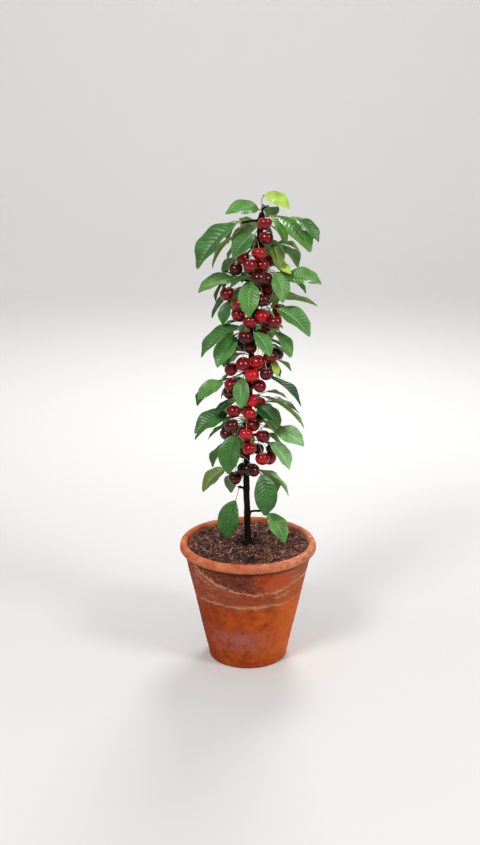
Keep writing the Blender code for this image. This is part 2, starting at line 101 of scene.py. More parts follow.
class Value:
    """An output of a material's nodes. Arithmetic on it adds Math nodes."""

    def __init__(self, finish, socket):
        self.finish, self.socket = finish, socket

    def math(self, operation, *values):
        return self.finish.node("ShaderNodeMath", {"operation": operation}, dict(enumerate(values)))

    def __add__(self, other):
        return self.math("ADD", self, other)

    def __sub__(self, other):
        return self.math("SUBTRACT", self, other)

    def __rsub__(self, other):
        return self.math("SUBTRACT", other, self)

    def __mul__(self, other):
        return self.math("MULTIPLY", self, other)

    def __truediv__(self, other):
        return self.math("DIVIDE", self, other)

    __radd__, __rmul__ = __add__, __mul__

    def step(self, low, high):
        """0 below low and 1 above high, smoothly; the other way round where low is the larger."""
        return self.finish.node("ShaderNodeMapRange", {"interpolation_type": "SMOOTHSTEP"},
                                {0: self, 1: low, 2: high, 3: 0.0, 4: 1.0})

    def band(self, width):
        """1 where the value is 0, falling smoothly to 0 at width on either side."""
        return self.math("ABSOLUTE", self).step(width, 0.0)


class Finish:
    """A material, made of nodes round a Principled shader."""

    def __init__(self, name, colour=(0.5, 0.5, 0.5), roughness=0.5, **constants):
        self.material = bpy.data.materials.new(name)
        self.material.use_nodes = True
        self.nodes, self.links = self.material.node_tree.nodes, self.material.node_tree.links
        self.shader = self.nodes["Principled BSDF"]
        self.feed("Base Color", (*colour, 1))
        self.feed("Roughness", roughness)
        for socket, value in constants.items():
            self.feed(socket.replace("_", " "), value)

    def put(self, socket, value):
        if isinstance(value, Value):
            self.links.new(value.socket, socket)
        else:
            socket.default_value = value

    def feed(self, name, value):
        """Sets or links one of the shader's own sockets."""
        self.put(self.shader.inputs[name], value)

    def node(self, kind, settings=None, values=None, output=0):
        """Adds a node: its settings first, then the values or links of its sockets."""
        made = self.nodes.new(kind)
        for key, setting in (settings or {}).items():
            setattr(made, key, setting)
        for key, value in (values or {}).items():
            self.put(made.inputs[key], value)
        return Value(self, made.outputs[output])

    def axis(self, name):
        """One of the Object coordinates, in metres."""
        where = self.node("ShaderNodeTexCoord", output=3)
        return self.node("ShaderNodeSeparateXYZ", {}, {0: where}, "XYZ".index(name))

    def noise(self, scale, detail=3, roughness=0.5, stretch=(1, 1, 1), shift=(0, 0, 0)):
        """Noise from 0 to 1 over the Object coordinates, with scale features to the metre."""
        where = self.node("ShaderNodeTexCoord", output=3)
        placed = self.node("ShaderNodeMapping", {}, {0: where, 1: shift, 3: stretch})
        return self.node("ShaderNodeTexNoise", {}, {"Vector": placed, "Scale": scale,
                                                    "Detail": detail, "Roughness": roughness})

    def mix(self, share, first, second):
        """A colour between two, by share."""
        colours = [c if isinstance(c, Value) else (*c, 1) for c in (first, second)]
        return self.node("ShaderNodeMix", {"data_type": "RGBA"},
                         {0: share, 6: colours[0], 7: colours[1]}, 2)

    def coats(self, colour, *layers):
        """A colour under layers of others, each given with its share."""
        for share, coat in layers:
            colour = self.mix(share, colour, coat)
        return colour

    def paint(self, share, first, second):
        """Feeds a colour between two, by share."""
        self.feed("Base Color", self.mix(share, first, second))

    def shades(self, share, colour, darker, lighter):
        """Feeds one colour between its darker and its lighter shade, by share."""
        self.paint(share, [c * darker for c in colour], [c * lighter for c in colour])

    def relief(self, height, depth):
        """Bumps the surface by a height from 0 to 1, of a depth in metres."""
        self.feed("Normal", self.node("ShaderNodeBump", {}, {"Strength": 1.0, "Distance": depth,
                                                             "Height": height}))


def hand_over(piece, nodes):
    """The piece rides on the plant's one body, in place of its plain solids."""
    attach(piece, "root")
    if nodes:
        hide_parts(*nodes)


def disc(name, sides, radius, place):
    """A flat round face, all selected and open in edit mode, which a piece is drawn up from."""
    bpy.ops.object.select_all(action="DESELECT")
    bpy.ops.mesh.primitive_circle_add(vertices=sides, radius=radius, fill_type="NGON", location=place)
    made = bpy.context.object
    made.name = made.data.name = name
    bpy.ops.object.transform_apply(location=True)
    bpy.ops.object.mode_set(mode="EDIT")
    bpy.ops.mesh.select_all(action="SELECT")
    return made


def close_up(inside=False):
    """Turns all the faces outwards, or to the inside, and leaves edit mode."""
    bpy.ops.mesh.select_all(action="SELECT")
    bpy.ops.mesh.normals_make_consistent(inside=inside)
    bpy.ops.object.mode_set(mode="OBJECT")


pot = disc("terracotta_pot", POT_AROUND, POT_PROFILE[0][0] * MM, (0, 0, POT_PROFILE[0][1] * MM))
for (r0, z0), (r1, z1) in zip(POT_PROFILE, POT_PROFILE[1:]):
    cuts = max(1, round(math.hypot(r1 - r0, z1 - z0) / POT_CELL))
    for k in range(cuts):
        near, far = [r0 + (r1 - r0) * (k + e) / cuts for e in (0, 1)]
        rise = (z1 - z0) / cuts
        bpy.ops.mesh.extrude_region_move(TRANSFORM_OT_translate={"value": (0, 0, rise * MM)})
        bpy.ops.transform.resize(value=(far / near, far / near, 1), center_override=(0, 0, 0))
close_up()

for vert in pot.data.vertices:
    x, y, z = vert.co
    if z > TRUE_FOOT:
        # throwing rings, an uneven hand and a few knocks on the lip
        rings = 0.22 * math.sin(z / MM * 0.55 + 1.5 * noise.noise((0, 0, z * 30)))
        hand = 0.8 * noise.noise((x * 9, y * 9, z * 14)) + 0.35 * noise.noise((x * 60, y * 60, z * 60))
        knock = 1.4 * max(0, noise.noise((x * 55 + 3, y * 55, z * 45)) - 0.38) if z > LIP_FOOT else 0
        grow = 1 + (rings + hand - 0.8 - 3 * knock) * MM / math.hypot(x, y)
        vert.co = (x * grow, y * grow, z - (knock * 2 + 0.3) * MM if z > LIP_FOOT else z)
pot.data.shade_smooth()

terracotta = Finish("Weathered terracotta", roughness=0.88, Specular_IOR_Level=0.15)
height = terracotta.axis("Z")
rear = terracotta.axis("Y") / WALL_RADIUS + 1       # 0 at the front and 2 at the back
side = terracotta.axis("X") / WALL_RADIUS - rear * rear * 0.2
cloud = terracotta.noise(16, 5, 0.6)
grain = terracotta.noise(420, 3, 0.6)
patch = terracotta.noise(48, 6, 0.68, shift=(0.3, 0, 0.1))
fleck = terracotta.noise(270, 3, 0.65)
brushed = terracotta.noise(34, 6, 0.72, stretch=(1, 1, 4.5))
fine_brushed = terracotta.noise(120, 4, 0.7, stretch=(1, 1, 5))
wander = (cloud - 0.5) * 0.03 + (patch - 0.5) * 0.016

# the clay itself, lit on the right and shaded on the left by paint, and what lies between the
# foot and the tide line
tide = height + wander - (TIDE_HEIGHT + 0.034 * (side - 0.2) * (side - 0.2))    # over or under it
bloom = tide.step(0.006, -0.006) * (height + wander).step(0.126, 0.14) * brushed.step(0.34, 0.6)
smudge = bloom * (side + wander * 12 + 0.06).band(0.6) * patch.step(0.53, 0.63)
haze = bloom * (side + wander * 12).step(-0.1, -0.5) * patch.step(0.54, 0.4)
low_bloom = (height + wander * 1.5 - 0.062).band(0.037) * (side + 0.14 + wander * 9).band(0.75)
clay = terracotta.coats(
    terracotta.mix(patch.step(0.3, 0.7), (0.25, 0.027, 0.003), (0.46, 0.077, 0.008)),
    (cloud.step(0.45, 0.75) * 0.5, (0.62, 0.135, 0.016)),
    # painted light: the right side a lighter, brighter orange
    ((side + wander * 9).step(0.15, 0.75) * 0.6, (0.72, 0.16, 0.026)),
    # painted shade: the left side darker
    ((side + wander * 9).step(-0.1, -1.0) * 0.55, (0.2, 0.02, 0.002)),
    (bloom * 0.7, (0.22, 0.05, 0.029)),
    (bloom * fine_brushed.step(0.52, 0.7) * 0.55, (0.5, 0.23, 0.14)),
    (smudge * 0.7, (0.13, 0.034, 0.024)),
    (haze * 0.45, (0.42, 0.19, 0.15)),
    (low_bloom * patch.step(0.25, 0.5) * 0.8, (0.38, 0.115, 0.095)))

# worn clay and the dark crust, between the tide line and the lip
upper = tide.step(-0.002, 0.007)
crust = upper * (side + (patch - 0.5) * 1.1).step(0.46, 0.0) * patch.step(0.12, 0.34)
speckle = fleck.step(0.56, 0.66) * crust * (0.35 + side.step(0.1, -0.7))
scab = terracotta.mix(brushed.step(0.34, 0.66), (0.05, 0.012, 0.011), (0.17, 0.036, 0.023))
clay = terracotta.coats(
    clay,
    (upper * (side + wander * 6).step(0.05, 0.3) * 0.6, (0.42, 0.065, 0.024)),
    (upper * (side + wander * 9).step(0.5, 0.85) * 0.6, (0.27, 0.085, 0.05)),
    (crust * 0.88, scab),
    (speckle * 0.6, (0.42, 0.2, 0.12)))

# lime, in ragged lines along both tides and in streaks on the right
ragged = tide + (fine_brushed - 0.5) * 0.014
second = height + wander * 0.6 + (fine_brushed - 0.5) * 0.012 - SECOND_TIDE
lime = ragged.band(0.0034) * brushed.step(0.35, 0.5) + tide.band(0.015) * fleck.step(0.57, 0.65) * 0.6
lime += ragged.band(0.009) * cloud.step(0.48, 0.58) * fine_brushed.step(0.42, 0.6) * 0.7
lime += (ragged + 0.011).band(0.0026) * cloud.step(0.44, 0.56) * 0.7
lime += second.band(0.0034) * brushed.step(0.38, 0.56) * 0.8
lime += second.band(0.0085) * fine_brushed.step(0.38, 0.62) * (side - 0.1).band(0.75) * 0.55
streaks = (side + (cloud - 0.5) * 1.4).step(0.35, 0.75) * brushed.step(0.54, 0.66)
lime += streaks * height.step(0.12, 0.15) * 0.6

# the lip, more worn, and painted shade in the groove under it
lip_lime = fine_brushed.step(0.46, 0.68) * (side + (cloud - 0.5) * 2).step(-0.3, 0.9)
lip_fleck = fleck.step(0.58, 0.68) * (0.25 + side.step(-0.4, 0.6) * 0.5)
lip_clay = terracotta.coats(
    terracotta.mix(patch.step(0.3, 0.7), (0.4, 0.08, 0.028), (0.62, 0.19, 0.085)),
    (lip_lime * 0.7, (0.76, 0.49, 0.34)),
    (lip_fleck * 0.6, (0.76, 0.46, 0.32)),
    (terracotta.noise(90, 5, 0.7).step(0.55, 0.7) * 0.65, (0.19, 0.05, 0.022)))
# painted shade: a dark band in the groove under the overhanging lip
under_lip_shade = (height - GROOVE_HEIGHT).band(0.0065) * terracotta.noise(30, 3).step(0.2, 0.42)
clay = terracotta.coats(
    clay,
    (lime.math("MINIMUM", lime, 1.0) * 0.72, (0.66, 0.39, 0.23)),
    (height.step(0.2128, 0.2148), lip_clay),
    (under_lip_shade * 0.7, (0.05, 0.014, 0.01)),
    (grain.step(0.62, 0.8) * 0.3, (0.66, 0.3, 0.16)),
    (grain.step(0.4, 0.22) * 0.3, (0.12, 0.03, 0.015)))
terracotta.feed("Base Color", clay)
terracotta.feed("Roughness", 0.8 + 0.15 * bloom)
terracotta.relief(patch * 0.5 + grain * 0.3 + brushed * 0.4 + crust * patch * 0.6 + lime * 0.3, 0.0013)
pot.data.materials.append(terracotta.material)
hand_over(pot, ["pot"])


# The compost
# Composted bark and coir, with painted shade round the trunk, filled to a centimetre under the rim.
# Its top is a crumbly bed with chunks and slivers of bark, coir threads and a few straws lying on it.
BED_RADIUS = 114.8 * MM
BED_LEVELS = ((0, 18, 56, 115), (224.6, 224.2, 222.6, 221.2))   # mm out and mm up
BED_EDGE = BED_LEVELS[1][-1] * MM
BED_DEPTH = 12 * MM         # of the crumbly layer
BED_AROUND, BED_RINGS, BED_CELL = 150, 44, 2.5 * MM
TRUNK_SHADE_RADIUS = 48 * MM       # from the trunk, where the slivers are mostly of the dark kinds, as painted shade
DARK_KINDS = ("Bark chunk", "Bark dark")
SLIVERS = [                 # name, count, length and width in mm, share lying flat, colour
    ("Bark chunk", 140, (9, 19), (4.5, 9), 0.55, (0.03, 0.01, 0.007)),
    ("Bark plate", 150, (8, 16), (3.5, 7), 0.6, (0.16, 0.045, 0.026)),
    ("Bark dark", 1300, (3, 11), (1.2, 4.2), 0.5, (0.016, 0.007, 0.006)),
    ("Bark red", 1400, (3, 10), (1.0, 3.6), 0.5, (0.23, 0.055, 0.032)),
    ("Bark brown", 1150, (3, 9), (0.9, 3.0), 0.5, (0.45, 0.18, 0.11)),
    ("Bark pale", 420, (3, 8), (0.8, 2.4), 0.4, (0.74, 0.5, 0.38)),
    ("Coir thread", 900, (7, 22), (0.35, 0.8), 0.8, (0.46, 0.23, 0.12)),
    ("Straw", 150, (8, 30), (0.5, 1.2), 0.75, (0.8, 0.58, 0.33)),
]


def bed_height(x, y):
    """The height of the compost's crumbly top."""
    base = np.interp(math.hypot(x, y) / MM, *BED_LEVELS)
    lumps = 2.6 * noise.noise((x * 40, y * 40, 0)) + 1.7 * noise.noise((x * 110, y * 110, 5))
    return (base + lumps + 0.6 * noise.noise((x * 300, y * 300, 9))) * MM


def tube_faces(rings, sides):
    """The faces of a closed tube of rings of points, then its far end and its near end."""
    near = np.arange(sides)
    after = (near + 1) % sides
    faces = []
    for ring in range(rings - 1):
        corners = [near, after, after + sides, near + sides]
        faces += (np.stack(corners, 1) + ring * sides).tolist()
    return faces + [((rings - 1) * sides + near).tolist(), near[::-1].tolist()]


def sweep(line, radii, sides, flat=1.0, turn=0.0):
    """A closed tube round a line: its points and its faces. Flat squeezes it across."""
    line = np.asarray(line, float)
    run = np.gradient(line, axis=0)
    run /= np.linalg.norm(run, axis=1)[:, None]
    across = np.cross(run[0], (0.31, 0.17, 0.93) if abs(run[0][2]) < 0.8 else (1, 0.2, 0.1))
    angles = turn + np.arange(sides) * 2 * math.pi / sides
    points = []
    for place, way, radius in zip(line, run, radii):
        across = across - way * across.dot(way)
        across /= np.linalg.norm(across)
        other = np.cross(way, across)
        points.append(place + radius * (np.outer(np.cos(angles), across)
                                        + flat * np.outer(np.sin(angles), other)))
    return np.concatenate(points), tube_faces(len(line), sides)


class Heap:
    """Many small pieces of one kind, gathered into one mesh."""

    def __init__(self):
        self.points, self.faces, self.slots, self.count = [], [], [], 0

    def add(self, points, faces, slots=0):
        self.points.append(points)
        self.faces += [[self.count + v for v in face] for face in faces]
        self.slots += slots if isinstance(slots, list) else [slots] * len(faces)
        self.count += len(points)

    def piece(self, name, finishes, record_slot, crease, nodes=()):
        """Makes the mesh, with a material to each slot number, smooth up to crease degrees."""
        mesh = bpy.data.meshes.new(name)
        mesh.from_pydata(np.concatenate(self.points).tolist(), [], self.faces)
        for finish in finishes:
            mesh.materials.append(finish.material)
        mesh.polygons.foreach_set("material_index", self.slots)
        mesh.shade_smooth()
        mesh.set_sharp_from_angle(angle=math.radians(crease))
        made = bpy.data.objects.new(name, mesh)
        bpy.context.scene.collection.objects.link(made)
        hand_over(made, nodes)


bed = disc("compost_bed", BED_AROUND, BED_RADIUS, (0, 0, BED_EDGE - BED_DEPTH))
bpy.ops.mesh.extrude_region_move(TRANSFORM_OT_translate={"value": (0, 0, BED_DEPTH)})
for ring in range(BED_RINGS):
    bpy.ops.mesh.inset(thickness=BED_CELL)
bpy.ops.object.mode_set(mode="OBJECT")
for vert in bed.data.vertices:
    x, y, z = vert.co
    if z > BED_EDGE - BED_DEPTH / 2:
        vert.co.z = bed_height(x, y)
bed.data.shade_smooth()
soil = Finish("Compost with painted shade", roughness=0.95)
crumb = soil.noise(190, 6, 0.75)
# painted shade: the bed darkens towards the trunk's foot
trunk_shade = (soil.axis("X") * soil.axis("X") + soil.axis("Y") * soil.axis("Y")).step(0.0004, 0.0055)
earth = soil.mix(crumb.step(0.35, 0.68), (0.01, 0.004, 0.003), (0.1, 0.032, 0.018))
soil.paint((1 - trunk_shade) * 0.6, earth, (0.01, 0.005, 0.004))
soil.relief(crumb, 0.0016)
bed.data.materials.append(soil.material)
hand_over(bed, ["compost"])

chance = random.Random(5)
litter, litter_finishes = Heap(), []
for kind, (name, count, lengths, widths, flat_share, colour) in enumerate(SLIVERS):
    sliver = Finish(name, roughness=0.85)
    fibres = sliver.noise(260, 4, 0.65)
    sliver.shades(fibres.step(0.35, 0.65), colour, 0.5, 1.35)
    sliver.relief(fibres, 0.0005)
    litter_finishes.append(sliver)
    for k in range(count):
        out = BED_RADIUS * 0.985 * math.sqrt(chance.random())
        around = chance.uniform(0, 2 * math.pi)
        x, y = out * math.cos(around), out * math.sin(around)
        # painted shade: close to the trunk, mostly the dark kinds of sliver lie
        if name not in DARK_KINDS and chance.random() < 1.1 - out / TRUNK_SHADE_RADIUS:
            continue
        length, width = chance.uniform(*lengths) * MM, chance.uniform(*widths) * MM
        heading = chance.uniform(0, 2 * math.pi)
        steepest = 0.15 if chance.random() < flat_share else 0.8
        lift = chance.uniform(-steepest, steepest)
        level = math.cos(lift)
        way = Vector((math.cos(heading) * level, math.sin(heading) * level, math.sin(lift)))
        curl = Vector((-way.y, way.x, chance.uniform(-0.5, 0.9))) * chance.uniform(-0.35, 0.35) * length
        centre = Vector((x, y, bed_height(x, y) + abs(math.sin(lift)) * length * 0.3 + 0.25 * width))
        line, furthest = [], BED_RADIUS - 0.5 * width
        for t in (-0.5, -0.2, 0.1, 0.5):
            place = centre + way * t * length + curl * (0.25 - t * t)
            reach = math.hypot(place.x, place.y)
            if reach > furthest:
                place.xy *= furthest / reach
            line.append(place)
        taper = [width * 0.5 * chance.uniform(0.45, 1.0) for t in line]
        flat, turn = chance.uniform(0.25, 0.7), chance.uniform(0, 3)
        litter.add(*sweep(line, taper, 4, flat, turn), slots=kind)
litter.piece("bark_and_straw", litter_finishes, "compost", crease=35)


# The trunk
# One straight young stem in dark brown bark, cut level with the compost, with a slight root
# flare. Pale lenticels run round it, and it swells where a spur or a year's growth starts.
TRUNK_COURSE = [            # height, sideways lean and radius in mm
    (225.3, 0.3, 9.8), (229, 0.2, 8.4), (235, -0.1, 7.1), (246, -0.6, 6.3), (270, -1.2, 6.0),
    (320, -2.6, 5.9), (371, -3.5, 5.7), (430, -1.2, 5.6), (487, 1.3, 5.5), (545, 3.5, 5.4),
    (600, 5.8, 5.3), (665, 9.4, 5.1), (728, 13.3, 5.0), (785, 17.6, 4.9), (822, 20.4, 5.1),
    (838, 21.9, 5.7), (848, 23.4, 4.8),
]


def direction(heading, rise):
    """The unit vector of a heading and a rise, both in degrees."""
    h, r = math.radians(heading), math.radians(rise)
    return Vector((math.sin(h) * math.cos(r), -math.cos(h) * math.cos(r), math.sin(r)))


def trunk_at(height):
    """The trunk's centre and radius at a height, both read off its course in mm."""
    levels, leans, radii = zip(*TRUNK_COURSE)
    lean, radius = np.interp(height, levels, leans), np.interp(height, levels, radii)
    return Vector((lean, 0, height)) * MM, radius * MM


# The spurs
# Short woody shoots all the way up the trunk, each of which bears a tuft of leaves and hanging
# cherries. Three of them are long enough to be small boughs.
#
# Each row is a spur: height on the trunk in mm, heading, reach in mm and rise. A leaf is its
# petiole's heading, rise and length, its blade's heading, rise and length, the heading that its
# upper face turns to, and its tone. One whose blade has no length is a bare twig. A cherry is its
# heading, rise and distance from the spur's tip, and its ripeness. Round the back, two numbers say
# how many of each grow by rule. The last cherries at 475, 555, 645 and 803 mm have their numbers
# from a search for room.
SPURS = [
    (288, 80, 15, 10, [(80, -20, 12, 45, -45, 66, 20, "mid")], []),
    (335, -60, 12, 20, [(-20, -40, 28, -60, -78, 76, -10, "deep")], []),
    (352, 175, 12, 15, [], [], 2, 0),
    (371, 60, 12, 10, [(45, 8, 22, 30, -75, 80, 0, "deep"), (75, 8, 20, 72, -42, 66, 90, "fresh")],
     [(110, -50, 32, "dark")]),
    (400, -70, 12, 20, [(-75, -48, 38, -75, -42, 62, -45, "olive")],
     [(-30, -70, 46, "dark"), (20, -40, 34, "black")]),
    (418, 172, 12, 15, [], [], 3, 2),
    (440, 60, 12, 10, [(70, -15, 32, 58, -48, 62, 35, "pale")],
     [(-20, -30, 36, "bright"), (45, -66, 46, "bright"), (75, -40, 42, "black"),
      (62, -60, 56, "bright")]),
    (453, -150, 12, 15, [], [], 2, 2),
    (462, 82, 12, 5, [(75, -18, 38, 60, -18, 64, 10, "pale")], [(25, -35, 32, "ripe")]),
    (475, -10, 14, 10, [(-50, -38, 38, -40, -72, 76, -15, "deep")],
     [(-28, -48, 34, "bright"), (-50, -12, 38, "dark"), (-75, -38, 48, "dark"), (70, -48, 17, "ripe")]),
    (490, 165, 12, 15, [], [], 3, 2),
    (503, -70, 12, 10,
     [(-75, -42, 34, -65, -24, 74, -30, "deep"), (-60, 15, 24, -70, -35, 42, -60, "dark")],
     [(30, -28, 34, "bright"), (-35, -20, 32, "ripe")]),
    (514, 70, 12, 10,
     [(50, 10, 16, 65, -33, 96, 90, "dusty"), (60, -28, 28, 60, -62, 46, 60, "dusty"),
      (-20, -45, 26, 55, -55, 54, 20, "dark")],
     [(-20, 0, 34, "bright")]),
    (533, -150, 12, 15, [], [], 2, 2),
    (555, -60, 12, 20,
     [(-70, -20, 42, -70, -30, 56, -25, "mid"), (0, 5, 26, -15, -68, 56, -10, "blue")],
     [(-55, -28, 34, "ripe"), (-65, -45, 44, "dark"), (28, -62, 26, "dark")]),
    (562, 60, 12, 10, [(55, -20, 20, 65, -36, 86, 80, "dark")],
     [(5, -45, 32, "ripe"), (-20, -10, 34, "bright")]),
    (578, 165, 12, 15, [], [], 3, 2),
    (600, -60, 12, 10, [], [(-60, -50, 42, "ripe"), (-5, -42, 34, "ripe")]),
    (612, 60, 12, 10, [(60, -50, 38, 60, -62, 32, 30, "young")],
     [(-10, -50, 36, "bright"), (55, -40, 36, "ripe"), (95, -30, 36, "dark"), (45, -62, 48, "dark"),
      (20, -72, 60, "dark")]),
    (626, -165, 12, 15, [], [], 2, 2),
    (645, -60, 12, 20,
     [(-40, 0, 14, -65, -33, 94, -60, "deep"), (-50, -35, 30, -50, -38, 68, -20, "blue"),
      (-120, -20, 30, -80, -70, 60, -30, "young")],
     [(-10, -35, 32, "dark"), (33, -71, 43, "dark")]),
    (652, 30, 12, 10, [(-40, -25, 26, 45, -48, 54, 15, "blue"), (70, -18, 36, 58, -50, 56, 50, "mid")],
     []),
    (668, 145, 12, 15, [], [], 2, 2),
    (690, 50, 12, 10, [(60, -15, 34, 60, -34, 80, 30, "blue"), (60, 5, 12, 75, -3, 94, 90, "dusty")],
     [(-40, -55, 46, "ripe"), (-20, -40, 34, "bright"), (50, -52, 40, "ripe"), (70, -38, 38, "bright"),
      (0, -72, 50, "dark")]),
    (705, -70, 12, 10, [(-70, -22, 36, -60, -80, 44, -20, "deep")],
     [(-70, -8, 38, "ripe"), (-50, -25, 36, "ripe"), (-50, -62, 44, "ripe")]),
    (700, -165, 12, 15, [], [], 3, 2),
    (722, -80, 20, 20, [(-60, 10, 8, -65, -17, 74, -45, "mid"), (-85, 34, 34, 0, 0, 0, 0, "")], []),
    (738, -10, 14, 20,
     [(-40, -20, 12, -65, -24, 44, -60, "deep"), (-30, -30, 16, -15, -70, 68, -5, "mid")],
     [(10, -25, 30, "dark"), (35, -70, 50, "dark")]),
    (730, 150, 12, 15, [], [], 2, 2),
    (748, 70, 12, 10,
     [(58, -4, 30, 40, -66, 58, 15, "mid"), (75, -28, 40, 70, -5, 70, 30, "mid"),
      (60, 25, 24, 60, -35, 34, 10, "young")],
     [(25, -68, 44, "ripe")]),
    (765, -168, 12, 15, [], [], 2, 2),
    (783, 150, 12, 15, [], [], 2, 1),
    (795, 80, 12, 10, [(50, 0, 14, 35, -58, 50, 30, "olive"), (95, -2, 18, 80, -20, 42, 60, "olive")],
     []),
    (803, -20, 12, 10, [(-10, 45, 20, -50, -42, 60, -10, "deep")],
     [(10, -42, 34, "bright"), (-65, -50, 42, "ripe"), (-55, -66, 54, "dark"), (-20, -50, 54, "ripe")]),
    (818, 175, 12, 20, [], [], 3, 1),
    (836, -75, 20, -5,
     [(-70, 8, 12, -65, -47, 108, -50, "deep"), (-72, -56, 30, -68, -53, 68, -110, "olive"),
      (120, 0, 18, -110, -52, 48, -90, "olive")],
     []),
    (838, 60, 9, 30,
     [(40, 10, 8, 55, -55, 58, 60, "fresh"), (50, -5, 22, 50, -48, 88, 25, "mid"),
      (80, 12, 24, 80, -30, 46, 70, "mid"), (76, 4, 56, 70, -40, 58, 40, "deep")],
     [(-5, -68, 40, "ripe"), (5, -30, 28, "ripe")]),
]
LEADER_LEAVES = [(-60, -10, 8, -70, -6, 62, -20, "mid"), (-50, 72, 32, 62, -25, 54, 20, "young"),
                 (60, 30, 14, 0, 0, 0, 0, ""), (150, 10, 22, 160, -30, 62, 150, "mid")]
RULE_TONES = ("mid", "deep", "fresh", "mid", "blue")
RULE_RIPENESS = ("ripe", "dark", "bright", "ripe", "black")
SMALL_TONES = ("mid", "blue", "fresh", "deep", "mid", "olive", "mid")
CLOSING_CHERRIES = [        # the spur's height, then heading, rise, distance and ripeness
    (803, 35, -70, 48, "ripe"), (748, 4, -33, 27, "dark"), (748, -154, -55, 41, "black"),
    (690, 33, -35, 53, "ripe"), (645, -158, -69, 40, "black"), (562, 23, -86, 60, "bright"),
    (400, 67, -46, 40, "dark"),
]

# The rule by which leaves and cherries find room, clear of all that grew before them
GAP = 0.3 * MM
BOUGH_FROM = 15             # mm of reach
BOUGH_RADIUS, STEM_RADIUS = 3.4 * MM, 2.5 * MM
BOUGH_BOW = 0.6 * MM
STEM_LENGTH = 9             # mm, of the knob that bears a tuft
STEM_SETTING = 2            # mm, set into its bough
SPUR_ROOT, BOUGH_ROOT = 0.5, 0.4        # where their wood starts, as a share of the trunk's radius
STALK_SETTING = 1.5 * MM    # stalks start this far back from a spur's end
PETIOLE_TURN = 0.6          # of its length, where it turns to its blade's direction
STALK_MIDDLE, STALK_ARCH = 0.55, 0.18           # of the way to the cherry
COARSE_STEPS, TWIG_STEPS, PETIOLE_STEPS, STALK_STEPS = 2, 10, 12, 14
OWN_BEADS = 2               # a stalk's first beads, which touch its own spur
BLADE_WIDTH = 0.57          # of its length
BLADE_DROOP, FOLD, LOOK_RISE = 42, 20, 35       # degrees
TIP_FROM, TIP_PINCH = 0.78, 0.6                 # where a blade draws out to its tip, and how much
CHERRY_RADIUS = 12.8 * MM
CHERRY_DIMPLE = 0.55        # of its radius
BLADE_BEAD, STALK_BEAD, CHERRY_BEAD, RIM_BEAD = 2.9 * MM, 1.7 * MM, 12.4 * MM, 9 * MM
LIMB_MARGIN = 0.8 * MM
TRUNK_COLLAR, LIMB_COLLAR = 1.3, 0.2        # mm that a spur swells at its root
LINE_SPACING, BLADE_SPACING, RIM_SPACING = 4 * MM, 5 * MM, 6        # the last in degrees
# turns and lifts in degrees, tried one after another until a leaf or a cherry finds room
TRIES = [(0, 0), (8, 0), (-8, 0), (0, 9), (0, -9), (14, 8), (-14, 8), (14, -10), (-14, -10),
         (24, 0), (-24, 0), (0, 20), (34, 10), (-34, 10), (46, 0), (-46, 0)]
STALK_STRETCHES = (1, 1.2, 0.85)
LEAF_FAN, CHERRY_FAN, SMALL_FAN = 52, 48, (0, 38, -38)      # degrees
BARE_BELOW = 410            # mm above the pot's underside, where no small leaves grow
NEARBY = 100 * MM           # further off than a small leaf reaches


def outline(t):
    """A blade's half width at t of its length, as a share of the widest: oval, with a drawn tip."""
    tip = np.clip((t - TIP_FROM) / (1 - TIP_FROM), 0, 1)
    return np.sin(math.pi * t ** 0.95) ** 0.8 * (1 - TIP_PINCH * tip * (1 - tip))


class Blade:
    """A leaf blade: an arc that bends down as it runs out, and two halves that lift from it."""

    def __init__(self, base, heading, rise, length, look):
        self.base, self.heading, self.length = base, heading, length
        self.droop = math.radians(BLADE_DROOP)
        self.start = math.radians(rise) + self.droop / 2
        self.look = direction(look, LOOK_RISE)

    def axes(self, t):
        run = direction(self.heading, math.degrees(self.start - self.droop * t))
        side = run.cross(self.look).normalized()
        return run, side, side.cross(run)

    def centre(self, t):
        angle = self.start - self.droop * t
        out = self.length * (math.sin(self.start) - math.sin(angle)) / self.droop
        up = self.length * (math.cos(angle) - math.cos(self.start)) / self.droop
        return self.base + direction(self.heading, 0) * out + Vector((0, 0, up))

    def point(self, t, across):
        run, side, face = self.axes(t)
        half = self.length * BLADE_WIDTH / 2 * outline(t)
        lift = math.radians(FOLD)
        return self.centre(t) + side * (across * half * math.cos(lift)) \
            + face * (abs(across) * half * math.sin(lift))


def arch(start, middle, end, steps):
    """Points on the parabola from start to end that leaves towards the middle point."""
    return [start.lerp(middle, k / steps).lerp(middle.lerp(end, k / steps), k / steps)
            for k in range(steps + 1)]


def bend(start, heading, rise, length, end_heading, end_rise, steps):
    """Points of a petiole that leaves by one direction and bends towards its blade's."""
    first, last = direction(heading, rise), direction(end_heading, end_rise)
    middle = start + first * PETIOLE_TURN * length
    end = middle + (first + last).normalized() * (1 - PETIOLE_TURN) * length
    return arch(start, middle, end, steps)


def hang(start, centre, steps):
    """Points of a fruit stalk that leaves outward, bends over and ends inside the cherry's top."""
    end = centre + Vector((0, 0, CHERRY_DIMPLE * CHERRY_RADIUS))
    middle = start.lerp(end, STALK_MIDDLE) + Vector((0, 0, STALK_ARCH * (end - start).length))
    return arch(start, middle, end, steps)


def beads_along(points, radius):
    """Beads (x, y, z, radius) strung along a line of points."""
    beads = []
    for a, b in zip(points, points[1:]):
        count = max(1, round((b - a).length / LINE_SPACING))
        beads += [(*a.lerp(b, (k + 1) / count), radius) for k in range(count)]
    return beads


def blade_beads(blade):
    """Beads all over a blade, in rows."""
    rows = max(6, round(blade.length / BLADE_SPACING))
    columns = max(3, round(blade.length * BLADE_WIDTH / BLADE_SPACING))
    return [(*blade.point((r + 0.5) / rows, 2 * (c + 0.5) / columns - 1), BLADE_BEAD)
            for r in range(rows) for c in range(columns)]


def clear(beads, others):
    """Whether no bead of one list touches a bead of the other."""
    if not beads or not others:
        return True
    a, b = np.array(beads), np.array(others)
    apart = np.linalg.norm(a[:, None, :3] - b[None, :, :3], axis=2)
    return bool((apart > a[:, None, 3] + b[None, :, 3]).all())


